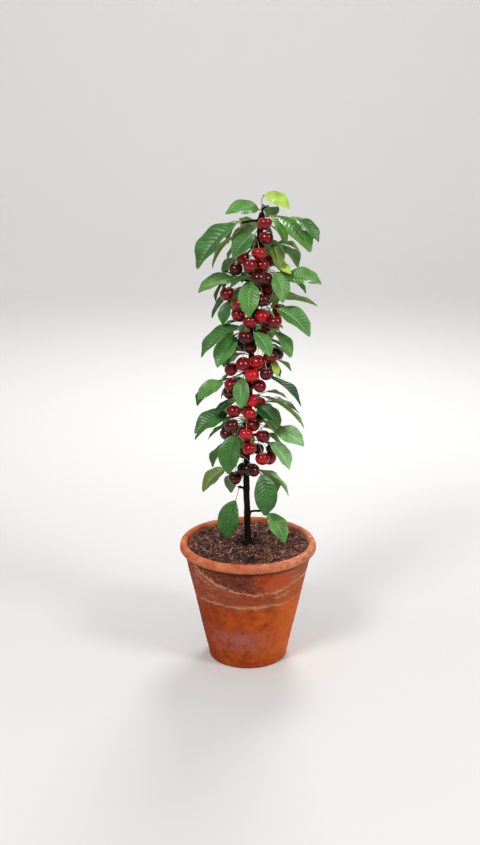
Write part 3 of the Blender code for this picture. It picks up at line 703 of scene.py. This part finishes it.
class Spur:
    """One spur's wood, and the leaves and cherries that it bears, each where it finds room."""

    def __init__(self, root, foot, end, out, collar, taken):
        self.root, self.end, self.out, self.collar, self.taken = root, end, out, collar, taken
        self.tip = end - (end - foot).normalized() * STALK_SETTING
        self.leaves, self.cherries, self.twigs = [], [], []
        self.broad, self.thin = [], []

    def room(self, broad, thin):
        return clear(broad, self.taken + self.broad) and clear(thin[OWN_BEADS:], self.taken)

    def keep(self, broad, thin):
        self.broad += broad
        self.thin += thin[OWN_BEADS:]

    def leaf(self, p_heading, p_rise, p_length, heading, rise, length, look, tone):
        """Grows a leaf, or a bare twig, by its petiole's and its blade's direction and length."""
        for turn, lift in TRIES:
            course = (self.tip, p_heading + turn, p_rise + lift, p_length * MM,
                      heading + turn, rise + lift)
            petiole = bend(*course, COARSE_STEPS)
            thin = beads_along(petiole, STALK_BEAD)
            if not length:
                self.twigs.append(bend(*course, TWIG_STEPS))
                return self.keep([], thin)
            blade = Blade(petiole[-1], heading + turn, rise + lift, length * MM, look + turn)
            broad = blade_beads(blade)
            if self.room(broad, thin):
                self.leaves.append((bend(*course, PETIOLE_STEPS), blade, tone))
                return self.keep(broad, thin)

    def cherry(self, heading, rise, reach, ripeness):
        """Grows a cherry, hung at a direction and a distance in mm from the spur's tip."""
        for stretch, (turn, lift) in [(s, way) for s in STALK_STRETCHES for way in TRIES]:
            centre = self.tip + direction(heading + turn, rise + lift) * reach * stretch * MM
            broad = [(*centre, CHERRY_BEAD)]
            thin = beads_along(hang(self.tip, centre, COARSE_STEPS)[:-1], STALK_BEAD)
            if self.room(broad, thin):
                self.cherries.append((hang(self.tip, centre, STALK_STEPS), centre, ripeness))
                return self.keep(broad, thin)

    def by_rule(self, heading, leaves, cherries, chance, number):
        for k in range(leaves):
            out = heading + (k - (leaves - 1) / 2) * LEAF_FAN + chance.uniform(-12, 12)
            self.leaf(out, chance.uniform(0, 30), chance.uniform(24, 34), out + chance.uniform(-14, 14),
                      chance.uniform(-55, -22), chance.uniform(62, 92), out,
                      RULE_TONES[(number + 2 * k) % len(RULE_TONES)])
        for k in range(cherries):
            out = heading + (k - (cherries - 1) / 2) * CHERRY_FAN + chance.uniform(-10, 10)
            self.cherry(out, chance.uniform(-62, -35), chance.uniform(30, 40),
                        RULE_RIPENESS[(number + k) % len(RULE_RIPENESS)])


course = [trunk_at(level)[0] for level, lean, radius in TRUNK_COURSE]
taken = []
for a, b, row in zip(course, course[1:], TRUNK_COURSE[1:]):
    taken += beads_along([a, b], row[2] * MM + LIMB_MARGIN)
for around in range(0, 360, RIM_SPACING):
    on_rim = direction(around, 0) * (RIM_RADIUS + MOUTH_RADIUS) / 2 + Vector((0, 0, POT_HEIGHT))
    taken.append((*on_rim, RIM_BEAD))

chance = random.Random(21)
spurs, boughs = [], []
for number, (height, heading, reach, rise, leaves, cherries, *more) in enumerate(SPURS, 1):
    axis, radius = trunk_at(height)
    out, slope = direction(heading, rise), math.radians(rise)
    limb = reach >= BOUGH_FROM
    thick = BOUGH_RADIUS if limb else STEM_RADIUS
    foot = axis + out * (radius + GAP + thick * abs(math.sin(slope))) / math.cos(slope)
    end = axis + out * (radius + reach * MM)
    root, collar = axis + out * radius * SPUR_ROOT, TRUNK_COLLAR
    if limb:
        line = [foot, foot.lerp(end, 0.5) + Vector((0, 0, BOUGH_BOW)), end]
        taken += beads_along(line, thick + LIMB_MARGIN)
        run = (line[2] - line[1]).normalized()
        boughs.append([axis + out * radius * BOUGH_ROOT] + line)
        foot = end + run * GAP
        end = foot + run * STEM_LENGTH * MM
        root, collar = foot - out * STEM_SETTING * MM, LIMB_COLLAR
    spur = Spur(root, foot, end, out, collar, taken)
    for leaf in leaves:
        spur.leaf(*leaf)
    for cherry in cherries:
        spur.cherry(*cherry)
    if more:
        spur.by_rule(heading, *more, chance, number)
    spurs.append(spur)
    taken += spur.broad + spur.thin
    taken += beads_along([foot, end], STEM_RADIUS + LIMB_MARGIN)
top, out = course[-1], (course[-1] - course[-2]).normalized()
leader = Spur(top - out * STEM_SETTING * MM, top + out * GAP, top + out * (GAP + STEM_LENGTH * MM), out,
              LIMB_COLLAR, taken)
for leaf in LEADER_LEAVES:
    leader.leaf(*leaf)
taken += leader.broad + leader.thin

# A few more cherries close up the front's clusters, each in a gap that the rule left. Their numbers
# are from a search for room near the photo's cherries.
for height, heading, rise, reach, ripeness in CLOSING_CHERRIES:
    spur = next(spur for row, spur in zip(SPURS, spurs) if row[0] == height)
    centre = spur.tip + direction(heading, rise) * reach * MM
    spur.cherries.append((hang(spur.tip, centre, STALK_STEPS), centre, ripeness))
    taken.append((*centre, CHERRY_BEAD))
    taken += beads_along(hang(spur.tip, centre, COARSE_STEPS)[:-1], STALK_BEAD)

# Small leaves fill the crown's flanks, wherever the tufts leave room
chance = random.Random(17)
for number, spur in enumerate(spurs):
    height, heading = SPURS[number][:2]
    if height < BARE_BELOW:
        continue
    spur.taken = [bead for bead in taken if (Vector(bead[:3]) - spur.tip).length < NEARBY]
    flank = math.copysign(chance.uniform(85, 105), heading if abs(heading) < 140 else (-1) ** number)
    for lean in SMALL_FAN:
        length, tone = chance.uniform(36, 56), SMALL_TONES[(number + lean) % len(SMALL_TONES)]
        spur.leaf(flank + lean, chance.uniform(5, 35), chance.uniform(12, 24),
                  flank + lean + chance.uniform(-20, 20), chance.uniform(-65, -30), length, flank, tone)
    taken += spur.broad + spur.thin
spurs.append(leader)


# The trunk's bark
# The stem's own skin: smooth dark brown with fine wrinkles, pale lenticels across it, a swollen
# collar under each spur, and ring scars where one year's growth ended and the next began.
YEAR_SCARS = (452, 655, 838)    # mm above the pot's underside
TRUNK_SINK = 4              # mm that the bark runs on into the compost
TRUNK_AROUND, TRUNK_CUTS = 40, 26       # faces round it, and cuts between two heights of its course
TOP_INSET, TOP_RISE = 1.5 * MM, (0.3 * MM, 0, 1.2 * MM)     # the rounded top
UPRIGHT = 2 * MM            # the upright edges are longer than this
SPUR_COLLAR = 12            # mm above and below a spur that the trunk swells

level, lean, radius = TRUNK_COURSE[0]
stops = [(level - TRUNK_SINK, lean, radius)] + TRUNK_COURSE
trunk = disc("trunk_bark", TRUNK_AROUND, radius * MM, (lean * MM, 0, stops[0][0] * MM))
for low, high in zip(stops, stops[1:]):
    way = ((high[1] - low[1]) * MM, 0, (high[0] - low[0]) * MM)
    bpy.ops.mesh.extrude_region_move(TRANSFORM_OT_translate={"value": way})
    bpy.ops.transform.resize(value=(high[2] / low[2],) * 2 + (1,),
                             center_override=(high[1] * MM, 0, high[0] * MM))
bpy.ops.mesh.inset(thickness=TOP_INSET)
bpy.ops.transform.translate(value=TOP_RISE)
bpy.ops.mesh.select_mode(type="EDGE")
bpy.ops.mesh.select_all(action="DESELECT")
bpy.ops.object.mode_set(mode="OBJECT")
for edge in trunk.data.edges:
    a, b = (trunk.data.vertices[v].co for v in edge.vertices)
    edge.select = abs(a.z - b.z) > UPRIGHT
bpy.ops.object.mode_set(mode="EDIT")
bpy.ops.mesh.subdivide(number_cuts=TRUNK_CUTS)
close_up()

for vert in trunk.data.vertices:
    x, y, z = vert.co
    axis, radius = trunk_at(z / MM)
    aside, ahead = x - axis.x, y - axis.y
    heading = math.degrees(math.atan2(aside, -ahead))
    # in mm: an uneven growth, fine wrinkles, lenticels, and five ribs at the root
    swell = 0.55 * noise.noise((x * 90, y * 90, z * 45))
    swell += 0.22 * noise.noise((x * 420, y * 420, z * 110))
    swell += 0.16 * max(0, noise.noise((x * 160, y * 160, z * 700)) - 0.15) / 0.5
    swell += 0.9 * math.cos(math.radians(heading * 5)) * math.exp(-(z / MM - 223) / 7)
    for row in SPURS:
        over = z / MM - row[0]
        if abs(over) < SPUR_COLLAR:
            turn = abs((heading - row[1] + 180) % 360 - 180)
            facing = 0.25 + 0.75 * math.exp(-(turn / 45) ** 2)
            swell += 1.5 * math.exp(-(over + 1.5) ** 2 / 16) * facing
    for scar in YEAR_SCARS:
        over = z / MM - scar
        swell += 0.5 * math.exp(-abs(over) / 3.5) * (0.6 + 0.4 * math.cos(over * 2.6))
    share = 1 + swell * MM / max(math.hypot(aside, ahead), 3 * MM)
    vert.co = (axis.x + aside * share, axis.y + ahead * share, z)
trunk.data.shade_smooth()

bark = Finish("Young cherry bark", roughness=0.55, Specular_IOR_Level=0.12)
mottle = bark.noise(70, 5, 0.65, stretch=(1, 1, 0.35))
lenticels = bark.noise(210, 2, 0.5, stretch=(1, 1, 3.4)).step(0.62, 0.7)
wrinkles = bark.noise(260, 5, 0.7, stretch=(1, 1, 0.3))
skin = bark.mix(mottle.step(0.35, 0.7), (0.004, 0.0024, 0.0017), (0.018, 0.0095, 0.006))
skin = bark.mix(wrinkles.step(0.55, 0.75) * 0.45, skin, (0.036, 0.022, 0.015))
bark.paint(lenticels * 0.6, skin, (0.11, 0.062, 0.038))
bark.feed("Roughness", 0.5 + 0.25 * mottle)
bark.relief(wrinkles * 0.5 + lenticels * 0.5 + mottle * 0.3, 0.0006)
trunk.data.materials.append(bark.material)
hand_over(trunk, ["trunk"])


# The spurs' wood
# Gnarled little shoots, ringed by the bud scales of each year and ending in a knob of buds. The
# three long ones are bowed boughs, and a bare twig or two ends in a bud of its own.
SPUR_STEPS, BOUGH_STEPS = 22, 6
BUDS = 4                    # round a spur's end
spur_wood = Heap()
chance = random.Random(8)
bud_skin = Finish("Bud scales", roughness=0.55)
scales = bud_skin.noise(420, 3, 0.6, stretch=(1, 1, 2)).step(0.35, 0.65)
bud_skin.paint(scales, (0.07, 0.025, 0.014), (0.22, 0.1, 0.05))
for line in boughs:
    path, girth = [], []
    for a, b in zip(line, line[1:]):
        path += [a.lerp(b, k / BOUGH_STEPS) for k in range(BOUGH_STEPS)]
    path.append(line[-1])
    for k in range(len(path)):
        t = k / (len(path) - 1)
        ring = 0.16 * math.cos(k * 2.5)
        girth.append((2.1 + 2.4 * math.exp(-t * 7) + ring + chance.uniform(-0.1, 0.1)) * MM)
    spur_wood.add(*sweep(path, girth, sides=14))
for spur in spurs:
    path = [spur.root.lerp(spur.end, k / SPUR_STEPS) for k in range(SPUR_STEPS + 1)]
    girth = []
    for k in range(SPUR_STEPS + 1):
        t = k / SPUR_STEPS
        ring = 0.22 * math.cos(k * 2.2) + chance.uniform(-0.12, 0.12)
        collar = spur.collar * math.exp(-t * 7)
        knob = 0.75 * math.exp(-((t - 0.88) / 0.13) ** 2)
        girth.append((2.25 + ring + collar + knob) * (1 if t < 0.93 else 1 - (t - 0.93) * 9) * MM)
    spur_wood.add(*sweep(path, girth, sides=12))
    for k in range(BUDS):
        way = (spur.out + Vector([chance.uniform(-0.8, 0.8) for axis in range(3)])).normalized()
        start = spur.end - spur.out * 2.2 * MM + way * 1.2 * MM
        length = chance.uniform(3.2, 4.6) * MM
        bud = [start + way * length * t for t in (0, 0.25, 0.5, 0.75, 0.92, 1)]
        girth = [r * MM for r in (0.9, 1.25, 1.3, 0.9, 0.45, 0.1)]
        spur_wood.add(*sweep(bud, girth, sides=7), slots=1)
    for twig in spur.twigs:
        rings = [0.35 if k % 4 == 2 else 0 for k in range(len(twig))]
        girth = [(1.5 - 0.5 * k / len(twig) + ring) * MM for k, ring in enumerate(rings)]
        spur_wood.add(*sweep(twig, girth, sides=9))
        run = (twig[-1] - twig[-2]).normalized()
        bud = [twig[-1] + run * (t - 0.2) * 6 * MM for t in (0, 0.3, 0.6, 0.85, 1)]
        spur_wood.add(*sweep(bud, [r * MM for r in (0.9, 1.6, 1.4, 0.7, 0.1)], sides=8), slots=1)
spur_wood.piece("spurs_and_boughs", [bark, bud_skin], "bark", crease=50,
                nodes=["bough_01", "bough_02", "bough_03"])


# The leaves
# Oval, finely saw-toothed blades with a drawn-out tip, quilted between a dozen pairs of veins
# and folded a little along the midrib. They are glossy above and paler and dull beneath.
STRETCHES = 12              # between one pair of veins and the next
CELLS = (0, 0.11, 0.29, 0.48, 0.66, 0.84)   # rows within a stretch, the first cell being the vein
COLUMNS = (0, 0.045, 0.22, 0.42, 0.62, 0.81, 0.93, 1)
VEIN_SWEEP = 0.16           # how far a vein runs forward on its way to the margin
VEIN_TAPER = 0.7            # how much a vein narrows
RIB_HALF, RIB_END = 0.05, 0.9           # the midrib's half width and its length
TOOTH = 0.035               # a tooth's height, of the widest half
LEAF_THICKNESS = 0.3 * MM
PALE_UNDERSIDE = (0.16, 0.3, 0.11)
LEAF_TONES = {              # upper side and veins
    # the dark tone is painted shade: a darker copy of the green, for leaves deep in the crown's shade
    "dark": ((0.008, 0.058, 0.007), (0.022, 0.11, 0.018)),
    "deep": ((0.032, 0.12, 0.016), (0.066, 0.21, 0.045)),
    "mid": ((0.072, 0.205, 0.03), (0.155, 0.36, 0.088)),
    "blue": ((0.066, 0.205, 0.04), (0.17, 0.39, 0.12)),
    "fresh": ((0.15, 0.35, 0.055), (0.28, 0.51, 0.14)),
    "young": ((0.3, 0.46, 0.045), (0.45, 0.58, 0.12)),
    "pale": ((0.165, 0.355, 0.115), (0.43, 0.61, 0.33)),
    "dusty": ((0.15, 0.235, 0.038), (0.28, 0.38, 0.1)),
    "olive": ((0.098, 0.165, 0.02), (0.215, 0.295, 0.055)),
}

signed = np.array([-c for c in COLUMNS[:0:-1]] + list(COLUMNS))
outward = np.abs(signed)
along = []
for stretch in range(STRETCHES):
    for number, cell in enumerate(CELLS):
        narrowed = cell * (1 - VEIN_TAPER * outward) if number == 1 else cell + 0 * outward
        along.append((stretch + narrowed) / STRETCHES)
along.append(1 + 0 * outward)
along = np.array(along)
leaf_rows, leaf_columns = along.shape
swept = along + VEIN_SWEEP * outward * np.sin(math.pi * along)
cells = np.array(CELLS)[np.arange(leaf_rows) % len(CELLS)][:, None]
between = np.maximum(0, (cells - CELLS[1]) / (1 - CELLS[1]))     # 0 to 1 from one vein to the next
quilt = np.sin(math.pi * between) * (1 - np.exp(-outward / 0.07)) * (1 - outward ** 3)
teeth = (np.arange(leaf_rows) % 2)[:, None] * (outward == 1)
teeth = teeth * np.minimum(1, np.minimum(along / 0.08, (1 - along) / 0.05))
swept = np.clip(swept + 0.010 * teeth, 0, 1)
half_width = outline(swept) + TOOTH * teeth + 0.014

upper = np.arange(leaf_rows * leaf_columns).reshape(leaf_rows, leaf_columns)
under = upper.copy()
inner = (leaf_rows - 2, leaf_columns - 2)
under[1:-1, 1:-1] = upper.size + np.arange(math.prod(inner)).reshape(inner)
leaf_faces, leaf_slots = [], []
for r in range(leaf_rows - 1):
    for c in range(leaf_columns - 1):
        corners = [(r, c), (r, c + 1), (r + 1, c + 1), (r + 1, c)]
        reach = max(outward[c], outward[c + 1])
        rib = reach < RIB_HALF and r < leaf_rows * RIB_END
        vein = r % len(CELLS) == 0 and reach < 0.95
        leaf_faces += [[int(upper[k]) for k in corners], [int(under[k]) for k in corners[::-1]]]
        leaf_slots += [1 if rib or vein else 0, 2]


def leaf_points(blade, chance):
    """The points of one leaf: its blade's arc and fold, with the leaf's own twist and waves."""
    length = blade.length
    angle = blade.start - blade.droop * swept
    level, up = np.array(direction(blade.heading, 0)), np.array((0, 0, 1.0))
    out = length * (math.sin(blade.start) - np.sin(angle)) / blade.droop
    high = length * (np.cos(angle) - math.cos(blade.start)) / blade.droop
    spine = np.array(blade.base) + out[..., None] * level + high[..., None] * up
    run = np.cos(angle)[..., None] * level + np.sin(angle)[..., None] * up
    side = np.cross(run, np.array(blade.look))
    side /= np.linalg.norm(side, axis=2)[..., None]
    face = np.cross(side, run)
    twist = (chance.uniform(-0.3, 0.3) * (swept - 0.2))[..., None]
    cos, sin = np.cos(twist), np.sin(twist)
    side, face = side * cos + face * sin, face * cos - side * sin
    fold = math.radians(FOLD + chance.uniform(-5, 6))
    half = length * BLADE_WIDTH / 2 * half_width
    waves, phase = chance.uniform(1.6, 2.6), chance.uniform(0, 2 * math.pi)
    ripple = np.sin(2 * math.pi * waves * swept + phase + 1.2 * np.sign(signed))
    wave = 0.075 * half * outward ** 2 * ripple
    puff = 0.011 * length * quilt * np.clip(half_width * 1.4, 0, 1)
    lift = half * outward * math.sin(fold) * (1.1 - 0.3 * outward) + wave + puff
    sway = chance.uniform(-0.05, 0.05) * length * swept ** 2
    middle = spine + side * (signed * half * math.cos(fold) + sway)[..., None] + face * lift[..., None]
    top, bottom = middle.copy(), middle - face * LEAF_THICKNESS / 2
    top[1:-1, 1:-1] += face[1:-1, 1:-1] * LEAF_THICKNESS / 2
    return np.concatenate([top.reshape(-1, 3), bottom[1:-1, 1:-1].reshape(-1, 3)])


chance = random.Random(33)
tufts = {tone: Heap() for tone in LEAF_TONES}
for spur in spurs:
    for petiole, blade, tone in spur.leaves:
        tufts[tone].add(leaf_points(blade, chance), leaf_faces, leaf_slots)
masses = [f"foliage_{number:02d}" for number in range(1, len(SPURS) + 1)] + ["foliage_leader"]
for tone, (blade_colour, vein_colour) in LEAF_TONES.items():
    gloss = Finish(f"Leaf {tone}", blade_colour, 0.36, Specular_IOR_Level=0.4,
                   Coat_Weight=0.12, Coat_Roughness=0.2)
    gloss.shades(gloss.noise(55, 3, 0.6).step(0.25, 0.75), blade_colour, 0.72, 1.3)
    gloss.relief(gloss.noise(1100, 2, 0.6), 0.0002)
    veins = Finish(f"Veins {tone}", roughness=0.42, Specular_IOR_Level=0.4)
    veins.shades(veins.noise(80, 3, 0.6).step(0.3, 0.7), vein_colour, 0.8, 1.12)
    dull = Finish(f"Underside {tone}", roughness=0.6, Specular_IOR_Level=0.3)
    dull_colour = [0.5 * c + 0.5 * d for c, d in zip(vein_colour, PALE_UNDERSIDE)]
    dull.shades(dull.noise(90, 3, 0.6).step(0.3, 0.7), dull_colour, 0.8, 1.12)
    tufts[tone].piece(f"leaves_{tone}", [gloss, veins, dull], "foliage", crease=60,
                      nodes=masses if tone == "mid" else ())


# The stalks
# Slender green leaf stalks, flushed red in patches, each with two red nectar glands just before
# its blade and running on as the blade's midrib. The fruit stalks are pale and longer.
stalks = Heap()
for spur in spurs:
    for petiole, blade, tone in spur.leaves:
        t = np.linspace(0, 1, len(petiole))
        path, girth = list(petiole), list((0.72 + 0.45 * np.exp(-t * 9) + 0.12 * t ** 3) * MM)
        for t in (0.05, 0.14, 0.26, 0.4, 0.56, 0.72, 0.86):
            run, side, face = blade.axes(t)
            path.append(blade.centre(t) - face * 0.35 * MM)
            girth.append(0.78 * (1 - t) ** 0.8 * MM)
        stalks.add(*sweep(path, girth, sides=7))
        run, side, face = blade.axes(0)
        for way in (-1, 1):
            start = petiole[-1] - run * 1.6 * MM + side * way * 0.75 * MM
            gland = [start + run * t * MM for t in (-0.8, -0.4, 0, 0.4, 0.8)]
            stalks.add(*sweep(gland, [r * MM for r in (0.1, 0.5, 0.62, 0.5, 0.1)], sides=6), slots=2)
    for stalk, centre, ripeness in spur.cherries:
        t = np.linspace(0, 1, len(stalk))
        girth = (0.58 + 0.5 * np.exp(-t * 12) + 0.55 * np.exp(-(1 - t) * 14)) * MM
        stalks.add(*sweep(stalk, girth, sides=8), slots=1)
petiole_green = Finish("Leaf stalk", roughness=0.45)
flush = petiole_green.noise(45, 3, 0.6).step(0.45, 0.65)
petiole_green.paint(flush * 0.7, (0.22, 0.33, 0.07), (0.26, 0.075, 0.05))
fruit_green = Finish("Fruit stalk", roughness=0.45)
tan = fruit_green.noise(60, 3, 0.6).step(0.5, 0.7)
fruit_green.paint(tan * 0.6, (0.3, 0.42, 0.1), (0.36, 0.24, 0.1))
gland_red = Finish("Nectar gland", roughness=0.3)
gland_red.paint(gland_red.noise(500).step(0.35, 0.65), (0.12, 0.02, 0.012), (0.32, 0.03, 0.02))
stalks.piece("stalks", [petiole_green, fruit_green, gland_red], "foliage", crease=60)


# The cherries
# Plump sweet cherries, a little heart-shaped, with a dimple round the stalk, a faint seam down one
# side and a dry scar at the bottom. The skin is glossy, from bright red to nearly black.
RIPENESS = {
    "bright": ((0.25, 0.002, 0.005), (0.5, 0.006, 0.011)),
    "ripe": ((0.11, 0.0012, 0.0035), (0.25, 0.003, 0.007)),
    "dark": ((0.036, 0.001, 0.0025), (0.095, 0.002, 0.005)),
    "black": ((0.01, 0.0006, 0.0016), (0.03, 0.0012, 0.003)),
}
CHERRY_AROUND, CHERRY_DOWN = 30, 22
down = np.linspace(0.06, math.pi - 0.05, CHERRY_DOWN)[:, None]
around = (np.arange(CHERRY_AROUND) * 2 * math.pi / CHERRY_AROUND)[None, :]
seam = np.exp(-((around - math.pi) / 0.2) ** 2)
girth = np.sin(down) * (1 + 0.035 * np.cos(down)) * (1 - 0.022 * seam) * (1 + 0.02 * np.cos(2 * around))
dimple = 0.25 * np.exp(-(down / 0.42) ** 2)
dent = 0.04 * np.exp(-((math.pi - down) / 0.16) ** 2)
tall = 0.94 * np.cos(down) - dimple + dent + 0 * around
cherry_shape = np.stack([girth * np.cos(around), girth * np.sin(around), tall], 2).reshape(-1, 3)
cherry_faces = [[face[0], *face[:0:-1]] for face in tube_faces(CHERRY_DOWN, CHERRY_AROUND)]
cherry_slots = [0] * (len(cherry_faces) - 2) + [1, 0]       # the far end is the scar

chance = random.Random(12)
bunches = {ripeness: Heap() for ripeness in RIPENESS}
for spur in spurs:
    for stalk, centre, ripeness in spur.cherries:
        size = CHERRY_RADIUS * chance.uniform(0.97, 1.03)
        spin = chance.uniform(0, 6.28)
        lean_x, lean_y = chance.uniform(-0.12, 0.12), chance.uniform(-0.12, 0.12)
        turn = np.array([[math.cos(spin), -math.sin(spin), lean_x],
                         [math.sin(spin), math.cos(spin), lean_y],
                         [-lean_x, -lean_y, 1]])
        points = np.array(centre) + size * cherry_shape @ turn.T
        bunches[ripeness].add(points, cherry_faces, cherry_slots)
scar = Finish("Dry scar", roughness=0.8)
scar.paint(scar.noise(900).step(0.35, 0.65), (0.045, 0.02, 0.01), (0.13, 0.06, 0.03))
for ripeness, (dark, light) in RIPENESS.items():
    skin = Finish(f"Cherry {ripeness}", light, 0.13, Specular_IOR_Level=0.35,
                  Coat_Weight=0.12, Coat_Roughness=0.04)
    skin.paint(skin.noise(38, 3, 0.5).step(0.3, 0.7), dark, light)
    bunches[ripeness].piece(f"cherries_{ripeness}", [skin, scar], "foliage", crease=70)


# The studio
# A round sweep of pale card, its floor curving up into a low wall, so that no edge shows behind
# the plant. Large soft lights stand to the left, to the right and behind the leaves, and a last
# one is turned to the card.
SWEEP_FLAT, SWEEP_FLOOR, SWEEP_CORNER, SWEEP_WALL = 3.0, 3.6, 1.4, 3.0      # metres
CARD_DROP = 0.6 * MM        # under the pot's foot
LAMPS = [                   # place, what it is turned to, size and watts
    ("Left", (-1.2, -1.8, 2.4), (0, 0, 0.5), 0.9, 48),
    ("Right", (1.7, -1.3, 2.0), (0, 0, 0.5), 0.8, 30),
    ("Behind", (0.4, 1.7, 2.3), (0, 0, 0.5), 1.0, 36),
    ("Backdrop", (0, 1.6, 3.0), (0, 5.2, 1.2), 2.0, 75),
]
DAYLIGHT, DAYLIGHT_STRENGTH = (0.86, 0.87, 0.9, 1), 0.5

floor = disc("floor_card", 96, SWEEP_FLAT, (0, 0, -CARD_DROP))
bpy.ops.mesh.select_mode(type="EDGE")
sweep_line = [(SWEEP_FLAT, 0)]
for turn in range(0, 91, 9):
    t = math.radians(turn)
    sweep_line.append((SWEEP_FLOOR + SWEEP_CORNER * math.sin(t), SWEEP_CORNER * (1 - math.cos(t))))
sweep_line.append((SWEEP_FLOOR + SWEEP_CORNER, SWEEP_WALL))
for (r0, z0), (r1, z1) in zip(sweep_line, sweep_line[1:]):
    bpy.ops.mesh.extrude_edges_move(TRANSFORM_OT_translate={"value": (0, 0, z1 - z0)})
    bpy.ops.transform.resize(value=(r1 / r0, r1 / r0, 1), center_override=(0, 0, 0))
close_up(inside=True)
floor.data.shade_smooth()
card = Finish("Pale card", (0.66, 0.65, 0.635), 0.95, Specular_IOR_Level=0.1)
floor.data.materials.append(card.material)
floor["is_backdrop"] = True
for name, place, target, size, watts in LAMPS:
    aim = (Vector(target) - Vector(place)).to_track_quat("-Z", "Y").to_euler()
    bpy.ops.object.light_add(type="AREA", location=place, rotation=aim)
    lamp = bpy.context.object
    lamp.name = name
    lamp.data.shape, lamp.data.size, lamp.data.energy = "DISK", size, watts
world = bpy.data.worlds.new("Studio")
world.use_nodes = True
sky = world.node_tree.nodes["Background"].inputs
sky["Color"].default_value, sky["Strength"].default_value = DAYLIGHT, DAYLIGHT_STRENGTH
bpy.context.scene.world = world
bpy.context.scene.view_settings.view_transform = "Standard"

low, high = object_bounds()
